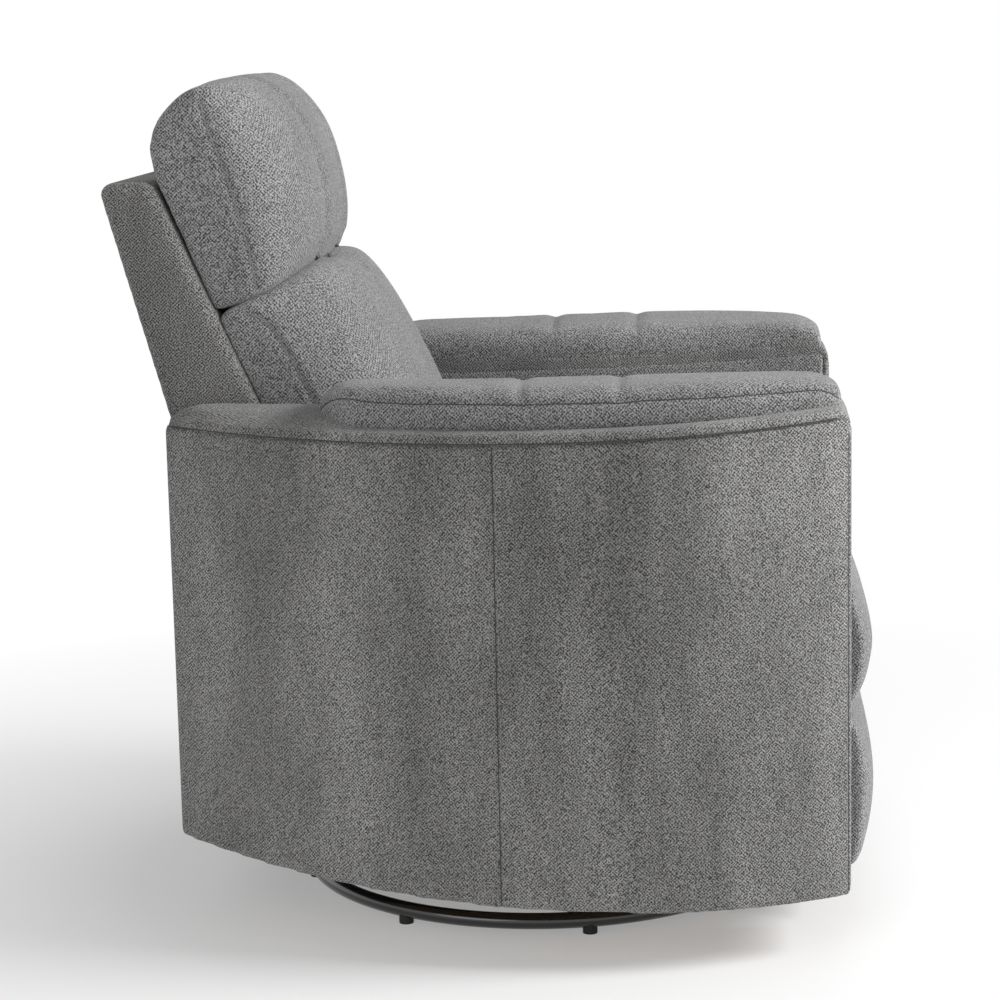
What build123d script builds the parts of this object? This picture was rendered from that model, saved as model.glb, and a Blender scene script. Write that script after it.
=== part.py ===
from build123d import *
import os
from math import atan2, cos, degrees, hypot, pi, radians, sin, sqrt

# Swivel glider recliner. Millimetres, +Z up, the sitter looks along -Y.
# Origin: on the floor, under the middle of the outer box.
os.makedirs("parts", exist_ok=True)

# ------------------------------------------------------------- driving sizes
# ring base and swivel bearing
swivel_y = -36.0
ring_radius = 303.0
ring_tube_r = 10.0
glide_height = 7.0
glide_r = 9.0
glide_count = 8
base_turn = 14.0
spider_bar_width = 40.0
spider_bar_t = 6.0
hub_r = 62.0
hub_t = 12.0
race_r = 50.0
race_width = 20.0
race_t = 5.0
ball_r = 4.0
ball_count = 20
ball_clearance = 0.05
pin_r = 10.0
bush_wall = 4.0
nut_r = 17.0
nut_t = 8.0
plate_t = 5.0
plate_half = 130.0
run_clearance = 0.05
face_gap = 0.4

# glide mechanism: four links hang the chair from the swivel frame
glider_plate_x = 126.0
glider_plate_t = 4.0
glider_half_length = 118.0
link_spacing = 90.0
link_length = 100.0
link_top_z = 180.0
link_t = 5.0
link_width = 24.0
link_side_gap = 0.9
link_pin_r = 6.0
platform_plate_t = 4.0
platform_tube = 20.0
platform_tube_reach = 112.0
swivel_bolt_r = 4.0

# timber rails of the seat base
seat_half = 250.0
rail_t = 24.0
rail_top = 168.0
rail_bottom_front = 80.0
rail_bottom_rear = 125.0
front_rail_top = 112.0
rail_depth = 25.0
rail_front_y = -385.0
rail_rear_y = 387.0

# barrel arms
arm_half_widest = 440.0
arm_half_front = 364.0
arm_half_rear = seat_half + 20.0
arm_front_y = -422.0
arm_rear_y = 395.0
arm_widest_y = -156.0
arm_split_y = -11.0
arm_bottom = 72.0
arm_bottom_rear = 115.0
arm_bottom_flat_y = -163.0
seam_front = 644.0
seam_middle = 624.5
seam_rear = 627.0
panel_t = 12.0
facing_t = 8.0
liner_t = 24.0
liner_bottom = 300.0
board_t = 18.0
board_z = 118.0
post_width = 40.0
cap_inset = 2.0
cap_crown_front = 10.0
cap_crown_rear = 21.0
cap_round_y = 225.0
pad_rear_y = 212.0
pad_crest_share = 0.7
pad_inset = 20.0
pad_seam_rise = 38.0
pad_crest_rise = 52.0
apron_t = 8.0
apron_top = 308.0
dust_cover_t = 1.5

# seat
cushion_half = 245.0
seat_tube = 25.0
seat_tube_front_y = -345.0
seat_tube_rear_y = 88.0
seat_tube_top = 320.0
spring_wire_r = 1.7
spring_count = 5
spring_pitch = 84.0
spring_wave = 24.0
seat_front_y = -394.0
seat_rear_y = 112.0
seat_edge_z = 466.0
seat_crown_z = 484.0

# footrest and its linkage
side_plate_t = 3.0
drive_pivot_y = -250.0
drive_pivot_z = 270.0
drive_link = 170.0
outer_link_y = -140.0
outer_link_z = 165.0
footrest_link_t = 5.0
footrest_link_width = 28.0
footrest_pin_r = 5.0
torque_tube_r = 10.0
drive_turn = 95.0
panel_bottom = 62.0
panel_split = 263.0
panel_top = 464.0
board_rear_y = -404.0
footrest_board_t = 12.0
pad_edge = 26.0
pad_crown = 53.0
drive_arm = 80.0

# back
hinge_y = 140.0
hinge_z = 345.0
back_half = 244.5
back_bottom_z = 345.0
back_top_z = 915.0
back_rear_y = 470.0
back_rear_run = 155.4
back_front_y = 405.7
back_front_run = 257.7
back_corner_r = 12.0
shell_t = 8.0
frame_board = 20.0
back_cushion_half = 240.0
back_recline = 35.0
back_drive_arm = 100.0
back_spring_count = 4

# headrest
head_half = 240.0
head_pivot_y = 235.0
head_pivot_z = 803.0
head_tilt = 25.0
head_arm = 100.0
head_rod_lean = 15.0
head_bracket_x = 100.0
channel_x = 80.0
channel_depth = 7.0

# actuators
actuator_r = 16.0
rod_r = 7.0
rod_clearance = 0.05
motor_width = 50.0
motor_drop = 80.0
yoke_pin_r = 5.0
yoke_t = 6.0
yoke_gap = 8.0
footrest_rod_x = -60.0
back_rod_x = 60.0

# switch panel and power inlet
switch_y = -255.0
switch_z = 560.0
switch_length = 40.0
switch_height = 16.0
switch_pitch = 46.0
switch_count = 3
bezel_t = 3.0
bezel_margin = 10.0
switch_clearance = 0.3
inlet_x = -170.0
inlet_z = 200.0
inlet_bore_r = 2.8
inlet_depth = 10.0


# ------------------------------------------------------------- small helpers
def block(x0, x1, y0, y1, z0, z1):
    centre = ((x0 + x1) / 2, (y0 + y1) / 2, (z0 + z1) / 2)
    return Pos(*centre) * Box(abs(x1 - x0), abs(y1 - y0), abs(z1 - z0))


def bar_x(x0, x1, y, z, radius):
    return Pos((x0 + x1) / 2, y, z) * Rot(0, 90, 0) * Cylinder(radius, abs(x1 - x0))


def disc(x, y, z0, z1, radius):
    return Pos(x, y, (z0 + z1) / 2) * Cylinder(radius, z1 - z0)


def side_plane(x):
    return Plane(origin=(x, 0, 0), x_dir=(0, 1, 0), z_dir=(1, 0, 0))


def side_prism(points, x0, x1):
    outline = make_face(Polyline(*points, close=True))
    return extrude(side_plane(x0) * outline, amount=x1 - x0)


def link_plate(start, end, x0, x1, width, end_r, hole_r):
    """Flat link with round ends and two holes, between two (y, z) pivots."""
    length = hypot(end[0] - start[0], end[1] - start[1])
    turn = degrees(atan2(end[1] - start[1], end[0] - start[0]))
    flat = Pos(length / 2, 0) * Rectangle(length, width)
    flat += Circle(end_r) + Pos(length, 0) * Circle(end_r)
    flat -= Circle(hole_r) + Pos(length, 0) * Circle(hole_r)
    placed = side_plane(x0) * Pos(start[0], start[1]) * Rot(0, 0, turn) * flat
    return extrude(placed, amount=x1 - x0)


def both_sides(part):
    return part + mirror(part, about=Plane.YZ)


def swing(point, pivot, angle):
    """Where a (y, z) point goes when it turns about the X axis through pivot."""
    y = point[0] - pivot[0]
    z = point[1] - pivot[1]
    c = cos(radians(angle))
    s = sin(radians(angle))
    return (pivot[0] + y * c - z * s, pivot[1] + y * s + z * c)


def group(solids):
    return Compound(children=[s for part in solids for s in part.solids()])


def save(name, part):
    export_step(part, f"parts/{name}.step")


def save_pair(name, left):
    save("left_" + name, left)
    save("right_" + name, mirror(left, about=Plane.YZ))


def loft_sections(wires):
    return Part() + Solid.make_loft(wires)


# --------------------------------------------------- ring base and the bearing
ring_z = glide_height + ring_tube_r
hub_bottom = ring_z - spider_bar_t / 2
race_bottom = hub_bottom + hub_t
ball_z = race_bottom + race_t / 2 + ball_r
race_top = ball_z + ball_r + race_t / 2
plate_z = race_top
nut_z = plate_z + plate_t + face_gap
about_swivel = Pos(0, swivel_y, 0) * Rot(0, 0, base_turn)

ring = Pos(0, 0, ring_z) * Torus(ring_radius, ring_tube_r)
spider = disc(0, 0, hub_bottom, race_bottom, hub_r)
for bar_turn in (0, 90):
    bar = Box(2 * ring_radius, spider_bar_width, spider_bar_t)
    spider += Pos(0, 0, ring_z) * Rot(0, 0, bar_turn) * bar
spider -= ring
spider -= disc(0, 0, hub_bottom, race_bottom, pin_r)
save("base_ring", about_swivel * ring)
save("base_spider", about_swivel * spider)

glide = disc(ring_radius, 0, 0, ring_z, glide_r) - ring
glides = []
for i in range(glide_count):
    glides.append(about_swivel * Rot(0, 0, i * 360 / glide_count) * glide.solids()[0])
save("base_glides", group(glides))

groove = Pos(0, swivel_y, ball_z) * Torus(race_r, ball_r + ball_clearance)
race_outer = race_r + race_width / 2
race_inner = race_r - race_width / 2
lower_race = disc(0, swivel_y, race_bottom, race_bottom + race_t, race_outer)
lower_race -= disc(0, swivel_y, race_bottom, race_bottom + race_t, race_inner)
save("lower_race", lower_race - groove)
upper_race = disc(0, swivel_y, race_top - race_t, race_top, race_outer)
upper_race -= disc(0, swivel_y, race_top - race_t, race_top, race_inner)
save("upper_race", upper_race - groove)
balls = []
for i in range(ball_count):
    angle = 2 * pi * i / ball_count
    centre = (race_r * cos(angle), swivel_y + race_r * sin(angle), ball_z)
    balls.append(Pos(*centre) * Sphere(ball_r))
save("bearing_balls", group(balls))

save("king_pin", disc(0, swivel_y, hub_bottom, nut_z, pin_r))
save("king_nut", disc(0, swivel_y, nut_z, nut_z + nut_t, nut_r))

# ------------------------------------------- swivel plate and the glider frame
bush_outer = pin_r + run_clearance + bush_wall
glider_z = plate_z + plate_t
glider_x1 = glider_plate_x + glider_plate_t
plate_bore = disc(0, swivel_y, plate_z, glider_z, bush_outer)
plate_y = (swivel_y - plate_half, swivel_y + plate_half)
swivel_plate = block(-plate_half, plate_half, *plate_y, plate_z, glider_z) - plate_bore
swivel_bushing = plate_bore - disc(0, swivel_y, plate_z, glider_z, pin_r + run_clearance)
save("swivel_bushing", swivel_bushing)

front_link_y = swivel_y - link_spacing
rear_link_y = swivel_y + link_spacing
link_bottom_z = link_top_z - link_length
glider_y = (swivel_y - glider_half_length, swivel_y + glider_half_length)
base_flange = (glider_z, glider_z + glider_plate_t)
glider = block(-glider_x1, glider_x1, *glider_y, *base_flange)
glider -= disc(0, swivel_y, *base_flange, nut_r + 3 * bush_wall)
glider_top = link_top_z + link_width / 2
glider += both_sides(block(glider_plate_x, glider_x1, *glider_y, glider_z, glider_top))
upper_pins = []
bolts = []
for link_y in (front_link_y, rear_link_y):
    glider -= bar_x(-glider_x1, glider_x1, link_y, link_top_z, link_pin_r)
    pin_start = glider_plate_x - glider_plate_t
    pin_end = glider_x1 + link_side_gap + link_t + link_side_gap
    pin = bar_x(pin_start, pin_end, link_y, link_top_z, link_pin_r)
    pin += bar_x(pin_start, glider_plate_x, link_y, link_top_z, 1.6 * link_pin_r)
    upper_pins += [pin, mirror(pin, about=Plane.YZ)]
    for bolt_x in (-plate_half / 2 - hub_r / 2, plate_half / 2 + hub_r / 2):
        bolt_hole = disc(bolt_x, link_y, plate_z, base_flange[1], swivel_bolt_r)
        glider -= bolt_hole
        swivel_plate -= bolt_hole
        head_z = (base_flange[1], base_flange[1] + swivel_bolt_r)
        bolts.append(bolt_hole + disc(bolt_x, link_y, *head_z, 1.8 * swivel_bolt_r))
save("swivel_plate", swivel_plate)
save("glider_base", glider)
save("glide_upper_pins", group(upper_pins))
save("swivel_bolts", group(bolts))

link_x0 = glider_x1 + link_side_gap
link_x1 = link_x0 + link_t
hole_r = link_pin_r + run_clearance
for name, link_y in (("front_glide_links", front_link_y), ("rear_glide_links", rear_link_y)):
    ends = ((link_y, link_bottom_z), (link_y, link_top_z))
    link = link_plate(*ends, link_x0, link_x1, link_width, link_width / 2, hole_r)
    save(name, group([link, mirror(link, about=Plane.YZ)]))

# -------------------------- platform that the links carry, with its cross tubes
platform_x0 = link_x1 + link_side_gap
platform_x1 = platform_x0 + platform_plate_t
reach = link_spacing + platform_tube_reach
front_tube_y = front_link_y - platform_tube_reach + platform_tube
rear_tube_y = rear_link_y + platform_tube_reach - platform_tube
platform_plate_bottom = link_bottom_z - link_width / 2 - 2 * face_gap
rail_x0 = seat_half - rail_t
tube_z0 = rail_bottom_rear + face_gap
tube_z1 = tube_z0 + platform_tube
plate_ends = (front_tube_y - platform_tube / 2, rear_tube_y + platform_tube / 2)
side_block = block(platform_x0, platform_x1, *plate_ends, platform_plate_bottom, tube_z1)
platform = both_sides(side_block)
for tube_y in (front_tube_y, rear_tube_y):
    half = platform_tube / 2
    platform += block(-rail_x0, rail_x0, tube_y - half, tube_y + half, tube_z0, tube_z1)
stud_start = glider_x1 + face_gap
for link_y in (front_link_y, rear_link_y):
    stud = bar_x(stud_start, platform_x1, link_y, link_bottom_z, link_pin_r)
    platform += both_sides(stud)
save("glide_platform", platform)

# --------------------------------------------------- timber rails of the base
side_rail_outline = [
    (rail_front_y, rail_bottom_front),
    (rail_front_y, rail_top),
    (rail_rear_y, rail_top),
    (rail_rear_y, rail_bottom_rear),
    (0, rail_bottom_front + rail_t / 2),
    (arm_bottom_flat_y, rail_bottom_front),
]
side_rail = side_prism(side_rail_outline, rail_x0, seat_half)
front_rail_y = (rail_front_y, rail_front_y + rail_depth)
front_rail = block(-rail_x0, rail_x0, *front_rail_y, rail_bottom_front, front_rail_top)
rear_rail_y = (rail_rear_y - rail_depth, rail_rear_y)
rear_rail = block(-rail_x0, rail_x0, *rear_rail_y, rail_bottom_rear, rail_top)
save("base_rails", group([both_sides(side_rail), front_rail, rear_rail]))


# ------------------------------------------------------------- barrel arm plan
front_drop = arm_half_widest - arm_half_front
front_run = arm_widest_y - arm_front_y
front_plan_r = (front_run**2 + front_drop**2) / (2 * front_drop)
rear_drop = arm_half_widest - arm_half_rear
rear_run = arm_rear_y - arm_widest_y
rear_plan_r = (rear_run**2 + rear_drop**2) / (2 * rear_drop)


def arm_half_at(y, inset=0.0):
    """Half width of the barrel outline at y, drawn in by inset."""
    radius = front_plan_r if y < arm_widest_y else rear_plan_r
    centre_x = arm_half_widest - radius
    return centre_x + sqrt((radius - inset) ** 2 - (y - arm_widest_y) ** 2)


def arm_plan(inset, inner_x, y0, y1):
    """Plan area of the arm between inner_x and the barrel outline."""
    ends = [(arm_half_at(y0, inset), y0), (arm_half_widest - inset, arm_widest_y)]
    middle_y = (y0 + arm_widest_y) / 2
    front_arc = ThreePointArc(ends[0], (arm_half_at(middle_y, inset), middle_y), ends[1])
    rear_end = (arm_half_at(y1, inset), y1)
    middle_y = (y1 + arm_widest_y) / 2
    rear_arc = ThreePointArc(ends[1], (arm_half_at(middle_y, inset), middle_y), rear_end)
    rest = Polyline(rear_end, (inner_x, y1), (inner_x, y0), ends[0])
    return make_face([front_arc, rear_arc, rest])


def seam_z(y):
    """Height of the seam between outer panel and arm cap, an arc from front to rear."""
    points = ((arm_front_y, seam_front), (0, seam_middle), (arm_rear_y, seam_rear))
    (ya, za), (yb, zb), (yc, zc) = points
    part_a = za * (y - yb) * (y - yc) / ((ya - yb) * (ya - yc))
    part_b = zb * (y - ya) * (y - yc) / ((yb - ya) * (yb - yc))
    part_c = zc * (y - ya) * (y - yb) / ((yc - ya) * (yc - yb))
    return part_a + part_b + part_c


def arm_side_profile():
    """Side view of the outer panels, with an arched foot."""
    front_low = (arm_front_y, arm_bottom)
    flat_end = (arm_bottom_flat_y, arm_bottom)
    rear_low = (arm_rear_y, arm_bottom_rear)
    rear_high = (arm_rear_y, seam_rear)
    front_high = (arm_front_y, seam_front)
    foot = TangentArc(flat_end, rear_low, tangent=(1, 0))
    top = ThreePointArc(rear_high, (0, seam_middle), front_high)
    edges = [Line(front_low, flat_end), foot, Line(rear_low, rear_high), top]
    return make_face(edges + [Line(front_high, front_low)])


side_profile = extrude(side_plane(0) * arm_side_profile(), amount=2 * arm_half_widest)


def tall(face, z0=0.0, z1=800.0):
    return extrude(Pos(0, 0, z0) * face, amount=z1 - z0)


# outer wing panels: a front one with the arm facing, a rear one with the end
outline = arm_plan(0, seat_half, arm_front_y, arm_rear_y)
hollow_y = (arm_front_y + facing_t, arm_rear_y - facing_t)
hollow = arm_plan(panel_t, seat_half, *hollow_y)
wing = (tall(outline) - tall(hollow)) & side_profile
front_half = block(0, 2 * arm_half_widest, arm_front_y - facing_t, arm_split_y, 0, 800)
save_pair("wing_front", wing & front_half)
save_pair("wing_rear", wing - front_half)

# inner frame of the arm: two boards shaped to the plan, three posts
frame_x = seat_half + liner_t
under_cap = side_profile & tall(arm_plan(0, seat_half, *hollow_y))
low_board = tall(hollow, board_z, board_z + board_t)
board_plan = arm_plan(panel_t, frame_x, hollow_y[0], cap_round_y + post_width)
top_board_z = seam_middle - 1.5 * board_t
arm_frame = low_board + (tall(board_plan, top_board_z, 700) & under_cap)
post_starts = (hollow_y[0], arm_split_y - post_width / 2, cap_round_y)
for post_y in post_starts:
    reach_x = min(arm_half_at(post_y, panel_t), arm_half_at(post_y + post_width, panel_t))
    post_x = (frame_x, min(reach_x, frame_x + post_width))
    arm_frame += block(*post_x, post_y, post_y + post_width, board_z, top_board_z)
save_pair("arm_frame", arm_frame & under_cap)

# padded inner face
liner = block(seat_half, frame_x, *hollow_y, liner_bottom, 700) & tall(hollow) & under_cap


# crowned cap over the arm
def cap_line(y, lift):
    """Outer edge, middle and inner edge of the crowned top at y, raised by lift."""
    base = seam_z(y) + lift
    outer = arm_half_at(y, cap_inset)
    share = min(1.0, max(0.0, (y - arm_split_y) / (cap_round_y - arm_split_y)))
    crown = cap_crown_front + (cap_crown_rear - cap_crown_front) * share
    bulge = base + crown / 2 + 0.06 * (outer - seat_half)
    return (outer, y, base), ((seat_half + outer) / 2, y, bulge), (seat_half, y, base + crown)


def cap_section(y):
    outer_edge, middle, inner_edge = cap_line(y, 0)
    low = outer_edge[2] - board_t
    edges = [
        Line((seat_half, y, low), (outer_edge[0], y, low)),
        Line((outer_edge[0], y, low), outer_edge),
        ThreePointArc(outer_edge, middle, inner_edge),
        Line(inner_edge, (seat_half, y, low)),
    ]
    return Wire(edges)


def bed_section(y):
    """All that lies under the pad: the cap's top line, carried past both edges."""
    outer_edge, middle, inner_edge = cap_line(y, face_gap)
    low = outer_edge[2] - 2 * board_t
    inner_x, outer_x = seat_half - board_t, outer_edge[0] + board_t
    shelf, ledge = (outer_x, y, outer_edge[2]), (inner_x, y, inner_edge[2])
    edges = [
        Line((inner_x, y, low), (outer_x, y, low)),
        Line((outer_x, y, low), shelf),
        Line(shelf, outer_edge),
        ThreePointArc(outer_edge, middle, inner_edge),
        Line(inner_edge, ledge),
        Line(ledge, (inner_x, y, low)),
    ]
    return Wire(edges)


cap_front_y = hollow_y[0]
cap_stations = (cap_front_y, -290, -150, arm_split_y, 120, cap_round_y, 310, hollow_y[1])
cap = loft_sections([cap_section(y) for y in cap_stations]) - side_profile
save_pair("arm_cap", cap)


# soft pad that rolls over the cap, with a boxed outer side
def pad_section(y, rise_share, width_share):
    base = seam_z(y) - board_t
    seam = seam_z(y) + pad_seam_rise * rise_share
    crest = seam_z(y) + pad_crest_rise * rise_share
    full = arm_half_at(y, pad_inset)
    outer = seat_half + (full - seat_half) * width_share
    inner = seat_half
    crest_x = inner + pad_crest_share * (outer - inner)
    shoulder = (inner, y, seam - 0.18 * (crest - base))
    side = (outer, y, seam)
    top = (crest_x, y, crest)
    outer_turn = (0.55 * outer + 0.45 * crest_x, y, 0.3 * seam + 0.7 * crest)
    inner_turn = (0.7 * inner + 0.3 * crest_x, y, 0.6 * crest + 0.4 * seam)
    edges = [
        Line((inner, y, base), (outer, y, base)),
        Line((outer, y, base), side),
        ThreePointArc(side, outer_turn, top),
        ThreePointArc(top, inner_turn, shoulder),
        Line(shoulder, (inner, y, base)),
    ]
    return Wire(edges)


pad_stations = (
    (cap_front_y + 1, 0.45, 0.93),
    (cap_front_y + 12, 0.8, 0.97),
    (cap_front_y + 50, 1.0, 1.0),
    (-250, 1.0, 1.0),
    (-100, 1.0, 1.0),
    (20, 1.0, 1.0),
    (pad_rear_y - 70, 1.05, 0.98),
    (pad_rear_y - 20, 0.95, 0.85),
    (pad_rear_y, 0.55, 0.7),
)
pad = loft_sections([pad_section(*s) for s in pad_stations])
pad -= loft_sections([bed_section(y) for y in cap_stations])
save_pair("arm_pad", pad)

# low panel across the rear, between the arms
inlet_size = 22.0
apron_y = (arm_rear_y - apron_t, arm_rear_y)
apron = block(-seat_half, seat_half, *apron_y, arm_bottom_rear, apron_top)
inlet_body = Pos(inlet_x, arm_rear_y - inlet_depth, inlet_z) * Box(inlet_size, 2 * inlet_depth, inlet_size)
inlet_flange = block(
    inlet_x - inlet_size, inlet_x + inlet_size, arm_rear_y, arm_rear_y + 2,
    inlet_z - inlet_size, inlet_z + inlet_size,
)
inlet_bore = Pos(inlet_x, arm_rear_y + 2 - inlet_depth / 2, inlet_z) * Rot(90, 0, 0)
inlet = inlet_body + inlet_flange - inlet_bore * Cylinder(inlet_bore_r, inlet_depth)
save("rear_apron", apron - inlet_body)
save("power_inlet", inlet)

# ------------------------------------------------ switch panel on the right arm
pocket_depth = liner_t - 6
case_wall = 3.0
switch_row = [switch_y + (i - (switch_count - 1) / 2) * switch_pitch for i in range(switch_count)]
case_y = (switch_row[0] - switch_length / 2 - bezel_margin, switch_row[-1] + switch_length / 2 + bezel_margin)
case_z = (switch_z - switch_height / 2 - case_wall, switch_z + switch_height / 2 + case_wall)
switch_case = block(-seat_half - pocket_depth, -seat_half, *case_y, *case_z)
bezel_y = (case_y[0] - bezel_margin / 2, case_y[1] + bezel_margin / 2)
bezel_z = (case_z[0] - bezel_margin / 2, case_z[1] + bezel_margin / 2)
bezel = switch_case + block(-seat_half, -seat_half + bezel_t, *bezel_y, *bezel_z)
switch_pivot_x = -seat_half - bezel_t
rocker_depth = 2 * bezel_t + 8
rocker_end_gap = 4 * switch_clearance
pivot_r = 1.5
for y in switch_row:
    opening_y = (y - switch_length / 2, y + switch_length / 2)
    opening_z = (switch_z - switch_height / 2, switch_z + switch_height / 2)
    bezel -= block(-seat_half - pocket_depth + case_wall, -seat_half + bezel_t, *opening_y, *opening_z)
    bezel -= disc(switch_pivot_x, y, case_z[0], case_z[1], pivot_r + run_clearance)
right_liner = mirror(liner, about=Plane.YZ) - switch_case
save("left_arm_liner", liner)
save("right_arm_liner", right_liner)
save("control_bezel", bezel)
for name, y in zip(("switch_footrest", "switch_back", "switch_head"), switch_row):
    half = switch_length / 2 - rocker_end_gap
    height = switch_height / 2 - switch_clearance
    rocker_x = (switch_pivot_x - 4, switch_pivot_x - 4 + rocker_depth)
    rocker = block(*rocker_x, y - half, y + half, switch_z - height, switch_z + height)
    rocker += disc(switch_pivot_x, y, case_z[0], case_z[1], pivot_r)
    save(name, rocker)

# ----------------------------------------------- thin cover under the seat base
cover_line = [
    (rail_front_y, rail_bottom_front),
    (arm_bottom_flat_y, rail_bottom_front),
    (0, rail_bottom_front + rail_t / 2),
    (rail_rear_y, rail_bottom_rear),
]
cover_outline = cover_line + [(y, z - dust_cover_t) for y, z in reversed(cover_line)]
cover = side_prism(cover_outline, -seat_half + cap_inset, seat_half - cap_inset)
cover_hole_x = platform_x1 + 2 * platform_tube
cover_gap = platform_tube
cover -= block(
    -cover_hole_x, cover_hole_x, plate_ends[0] - cover_gap, plate_ends[1] + cover_gap, 0, rail_top
)
save("dust_cover", cover)

# --------------------------------- steel side plates and tubes under the seat
side_plate_x = rail_x0 - side_plate_t
plate_low_z = tube_z1 + 2 * face_gap + 4
hinge_ear = 20.0
side_plate_outline = [
    (seat_tube_front_y, plate_low_z),
    (seat_tube_front_y, seat_tube_top),
    (hinge_y - hinge_ear, seat_tube_top),
    (hinge_y - hinge_ear, hinge_z + hinge_ear),
    (hinge_y + hinge_ear, hinge_z + hinge_ear),
    (hinge_y + hinge_ear, plate_low_z),
]
frame_plate = side_prism(side_plate_outline, side_plate_x, rail_x0)
mechanism = both_sides(frame_plate)
seat_tube_z0 = seat_tube_top - seat_tube
front_motor_y = -135.0
rear_motor_y = 95.0
footrest_rod_z = drive_pivot_z - drive_arm * (1 + cos(radians(drive_turn / 2))) / 2
back_rod_z = hinge_z - back_drive_arm * (1 + cos(radians(back_recline / 2))) / 2
for tube_y, tube_z in (
    (seat_tube_front_y, seat_tube_z0),
    (seat_tube_rear_y, seat_tube_z0),
    (front_motor_y, back_rod_z - seat_tube / 2),
    (rear_motor_y, glider_top + 2 * bush_wall),
):
    tube = (tube_y, tube_y + seat_tube, tube_z, tube_z + seat_tube)
    mechanism += block(-side_plate_x, side_plate_x, *tube)
tube_hole = torque_tube_r + run_clearance
mechanism -= bar_x(-rail_x0, rail_x0, drive_pivot_y, drive_pivot_z, tube_hole)
mechanism -= bar_x(-rail_x0, rail_x0, hinge_y, hinge_z, tube_hole)
save("mechanism_frame", mechanism)


# ---------------------------------------------------------- sinuous wire springs
def serpentine(start, length, pitch, wave, placed):
    """Flat zigzag wire with round turns, along the local X axis."""
    count = int(length // pitch)
    step = length / count
    corners = [(0, 0)]
    side = 1
    for i in range(count):
        corners += [(i * step + step / 2, 0)] if i == 0 else []
        corners += [(i * step + step / 2, side * wave / 2)] if i == 0 else []
        if i < count - 1:
            corners += [(i * step + 1.5 * step, side * wave / 2), (i * step + 1.5 * step, -side * wave / 2)]
            side = -side
    corners[-1] = (corners[-1][0], 0)
    corners.append((length, 0))
    path = placed * Pos(*start) * FilletPolyline(*corners, radius=min(step, wave) * 0.3)
    return sweep(Plane(origin=path @ 0, z_dir=path % 0) * Circle(spring_wire_r), path=path)


seat_springs = []
spring_y0 = seat_tube_front_y + seat_tube / 2
spring_length = seat_tube_rear_y - seat_tube_front_y
along_y = Plane(origin=(0, 0, seat_tube_top + spring_wire_r), x_dir=(0, 1, 0), z_dir=(0, 0, 1))
for i in range(spring_count):
    x = (i - (spring_count - 1) / 2) * spring_pitch
    seat_springs.append(serpentine((spring_y0, x), spring_length, 36, spring_wave * 1.5, along_y))
save("seat_springs", group(seat_springs))


# -------------------------------------------------------------- soft cushions
def section_wire(x, start, steps):
    """Closed outline in a plane of constant x: each step is (way point or None, end)."""
    edges = []
    here = start
    for way, end in steps:
        a = (x, *here)
        b = (x, *end)
        edges.append(Line(a, b) if way is None else ThreePointArc(a, (x, *way), b))
        here = end
    return Wire(edges)


def between(side, centre, share):
    if side is None:
        return None
    return (side[0] + (centre[0] - side[0]) * share, side[1] + (centre[1] - side[1]) * share)


def crowned(side, centre, stations):
    """Loft across the width: stations are (x, share of the crown)."""
    wires = []
    for x, share in stations:
        start = between(side[0], centre[0], share)
        steps = []
        for (way_s, end_s), (way_c, end_c) in zip(side[1:], centre[1:]):
            steps.append((between(way_s, way_c, share), between(end_s, end_c, share)))
        wires.append(section_wire(x, start, steps))
    return loft_sections(wires)


def mirrored(stations):
    return [(-x, s) for x, s in reversed(stations) if x > 0] + list(stations)


seat_bottom_z = seat_tube_top + 2 * spring_wire_r + face_gap / 2
nose_z = (seat_bottom_z + seat_edge_z) / 2
seat_side = (
    (seat_rear_y, seat_bottom_z),
    (None, (seat_front_y + 14, seat_bottom_z)),
    ((seat_front_y + 6, nose_z), (seat_front_y + 16, seat_edge_z - 14)),
    ((-140, seat_edge_z), (seat_rear_y, seat_edge_z - 12)),
    (None, (seat_rear_y, seat_bottom_z)),
)
seat_centre = (
    (seat_rear_y, seat_bottom_z),
    (None, (seat_front_y + 10, seat_bottom_z)),
    ((seat_front_y, nose_z), (seat_front_y + 14, seat_crown_z - 18)),
    ((-140, seat_crown_z), (seat_rear_y, seat_crown_z - 12)),
    (None, (seat_rear_y, seat_bottom_z)),
)
soft_stations = mirrored([(0, 1), (90, 0.97), (170, 0.85), (222, 0.5), (cushion_half - 2, 0.0)])
seat_cushion = crowned(seat_side, seat_centre, soft_stations)
save("seat_cushion", seat_cushion)

# ------------------------------------------------------ footrest and its links
drive_pivot = (drive_pivot_y, drive_pivot_z)
knee = (drive_pivot_y, drive_pivot_z - drive_link)
panel_pivot = (knee[0] + outer_link_y, knee[1] + outer_link_z)
drive_x1 = side_plate_x - 4
drive_x0 = drive_x1 - footrest_link_t
outer_x1 = drive_x0 - 1.5
outer_x0 = outer_x1 - footrest_link_t
bracket_x1 = outer_x0 - 1.5
bracket_x0 = bracket_x1 - footrest_link_t
link_end_r = footrest_link_width / 2 - 1
drive = link_plate(
    knee, drive_pivot, drive_x0, drive_x1, footrest_link_width - 4, link_end_r, footrest_pin_r
)
drive = both_sides(drive) + bar_x(-rail_x0, rail_x0, *drive_pivot, torque_tube_r)
pin_travel_hole = footrest_pin_r + run_clearance
outer_links = link_plate(
    knee, panel_pivot, outer_x0, outer_x1, footrest_link_width - 4, link_end_r, pin_travel_hole
)
knee_pin = bar_x(outer_x0 - 0.5, drive_x1, *knee, footrest_pin_r)
save("footrest_outer_links", group([outer_links, mirror(outer_links, about=Plane.YZ)]))
save("footrest_link_pins", group([knee_pin, mirror(knee_pin, about=Plane.YZ)]))

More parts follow.
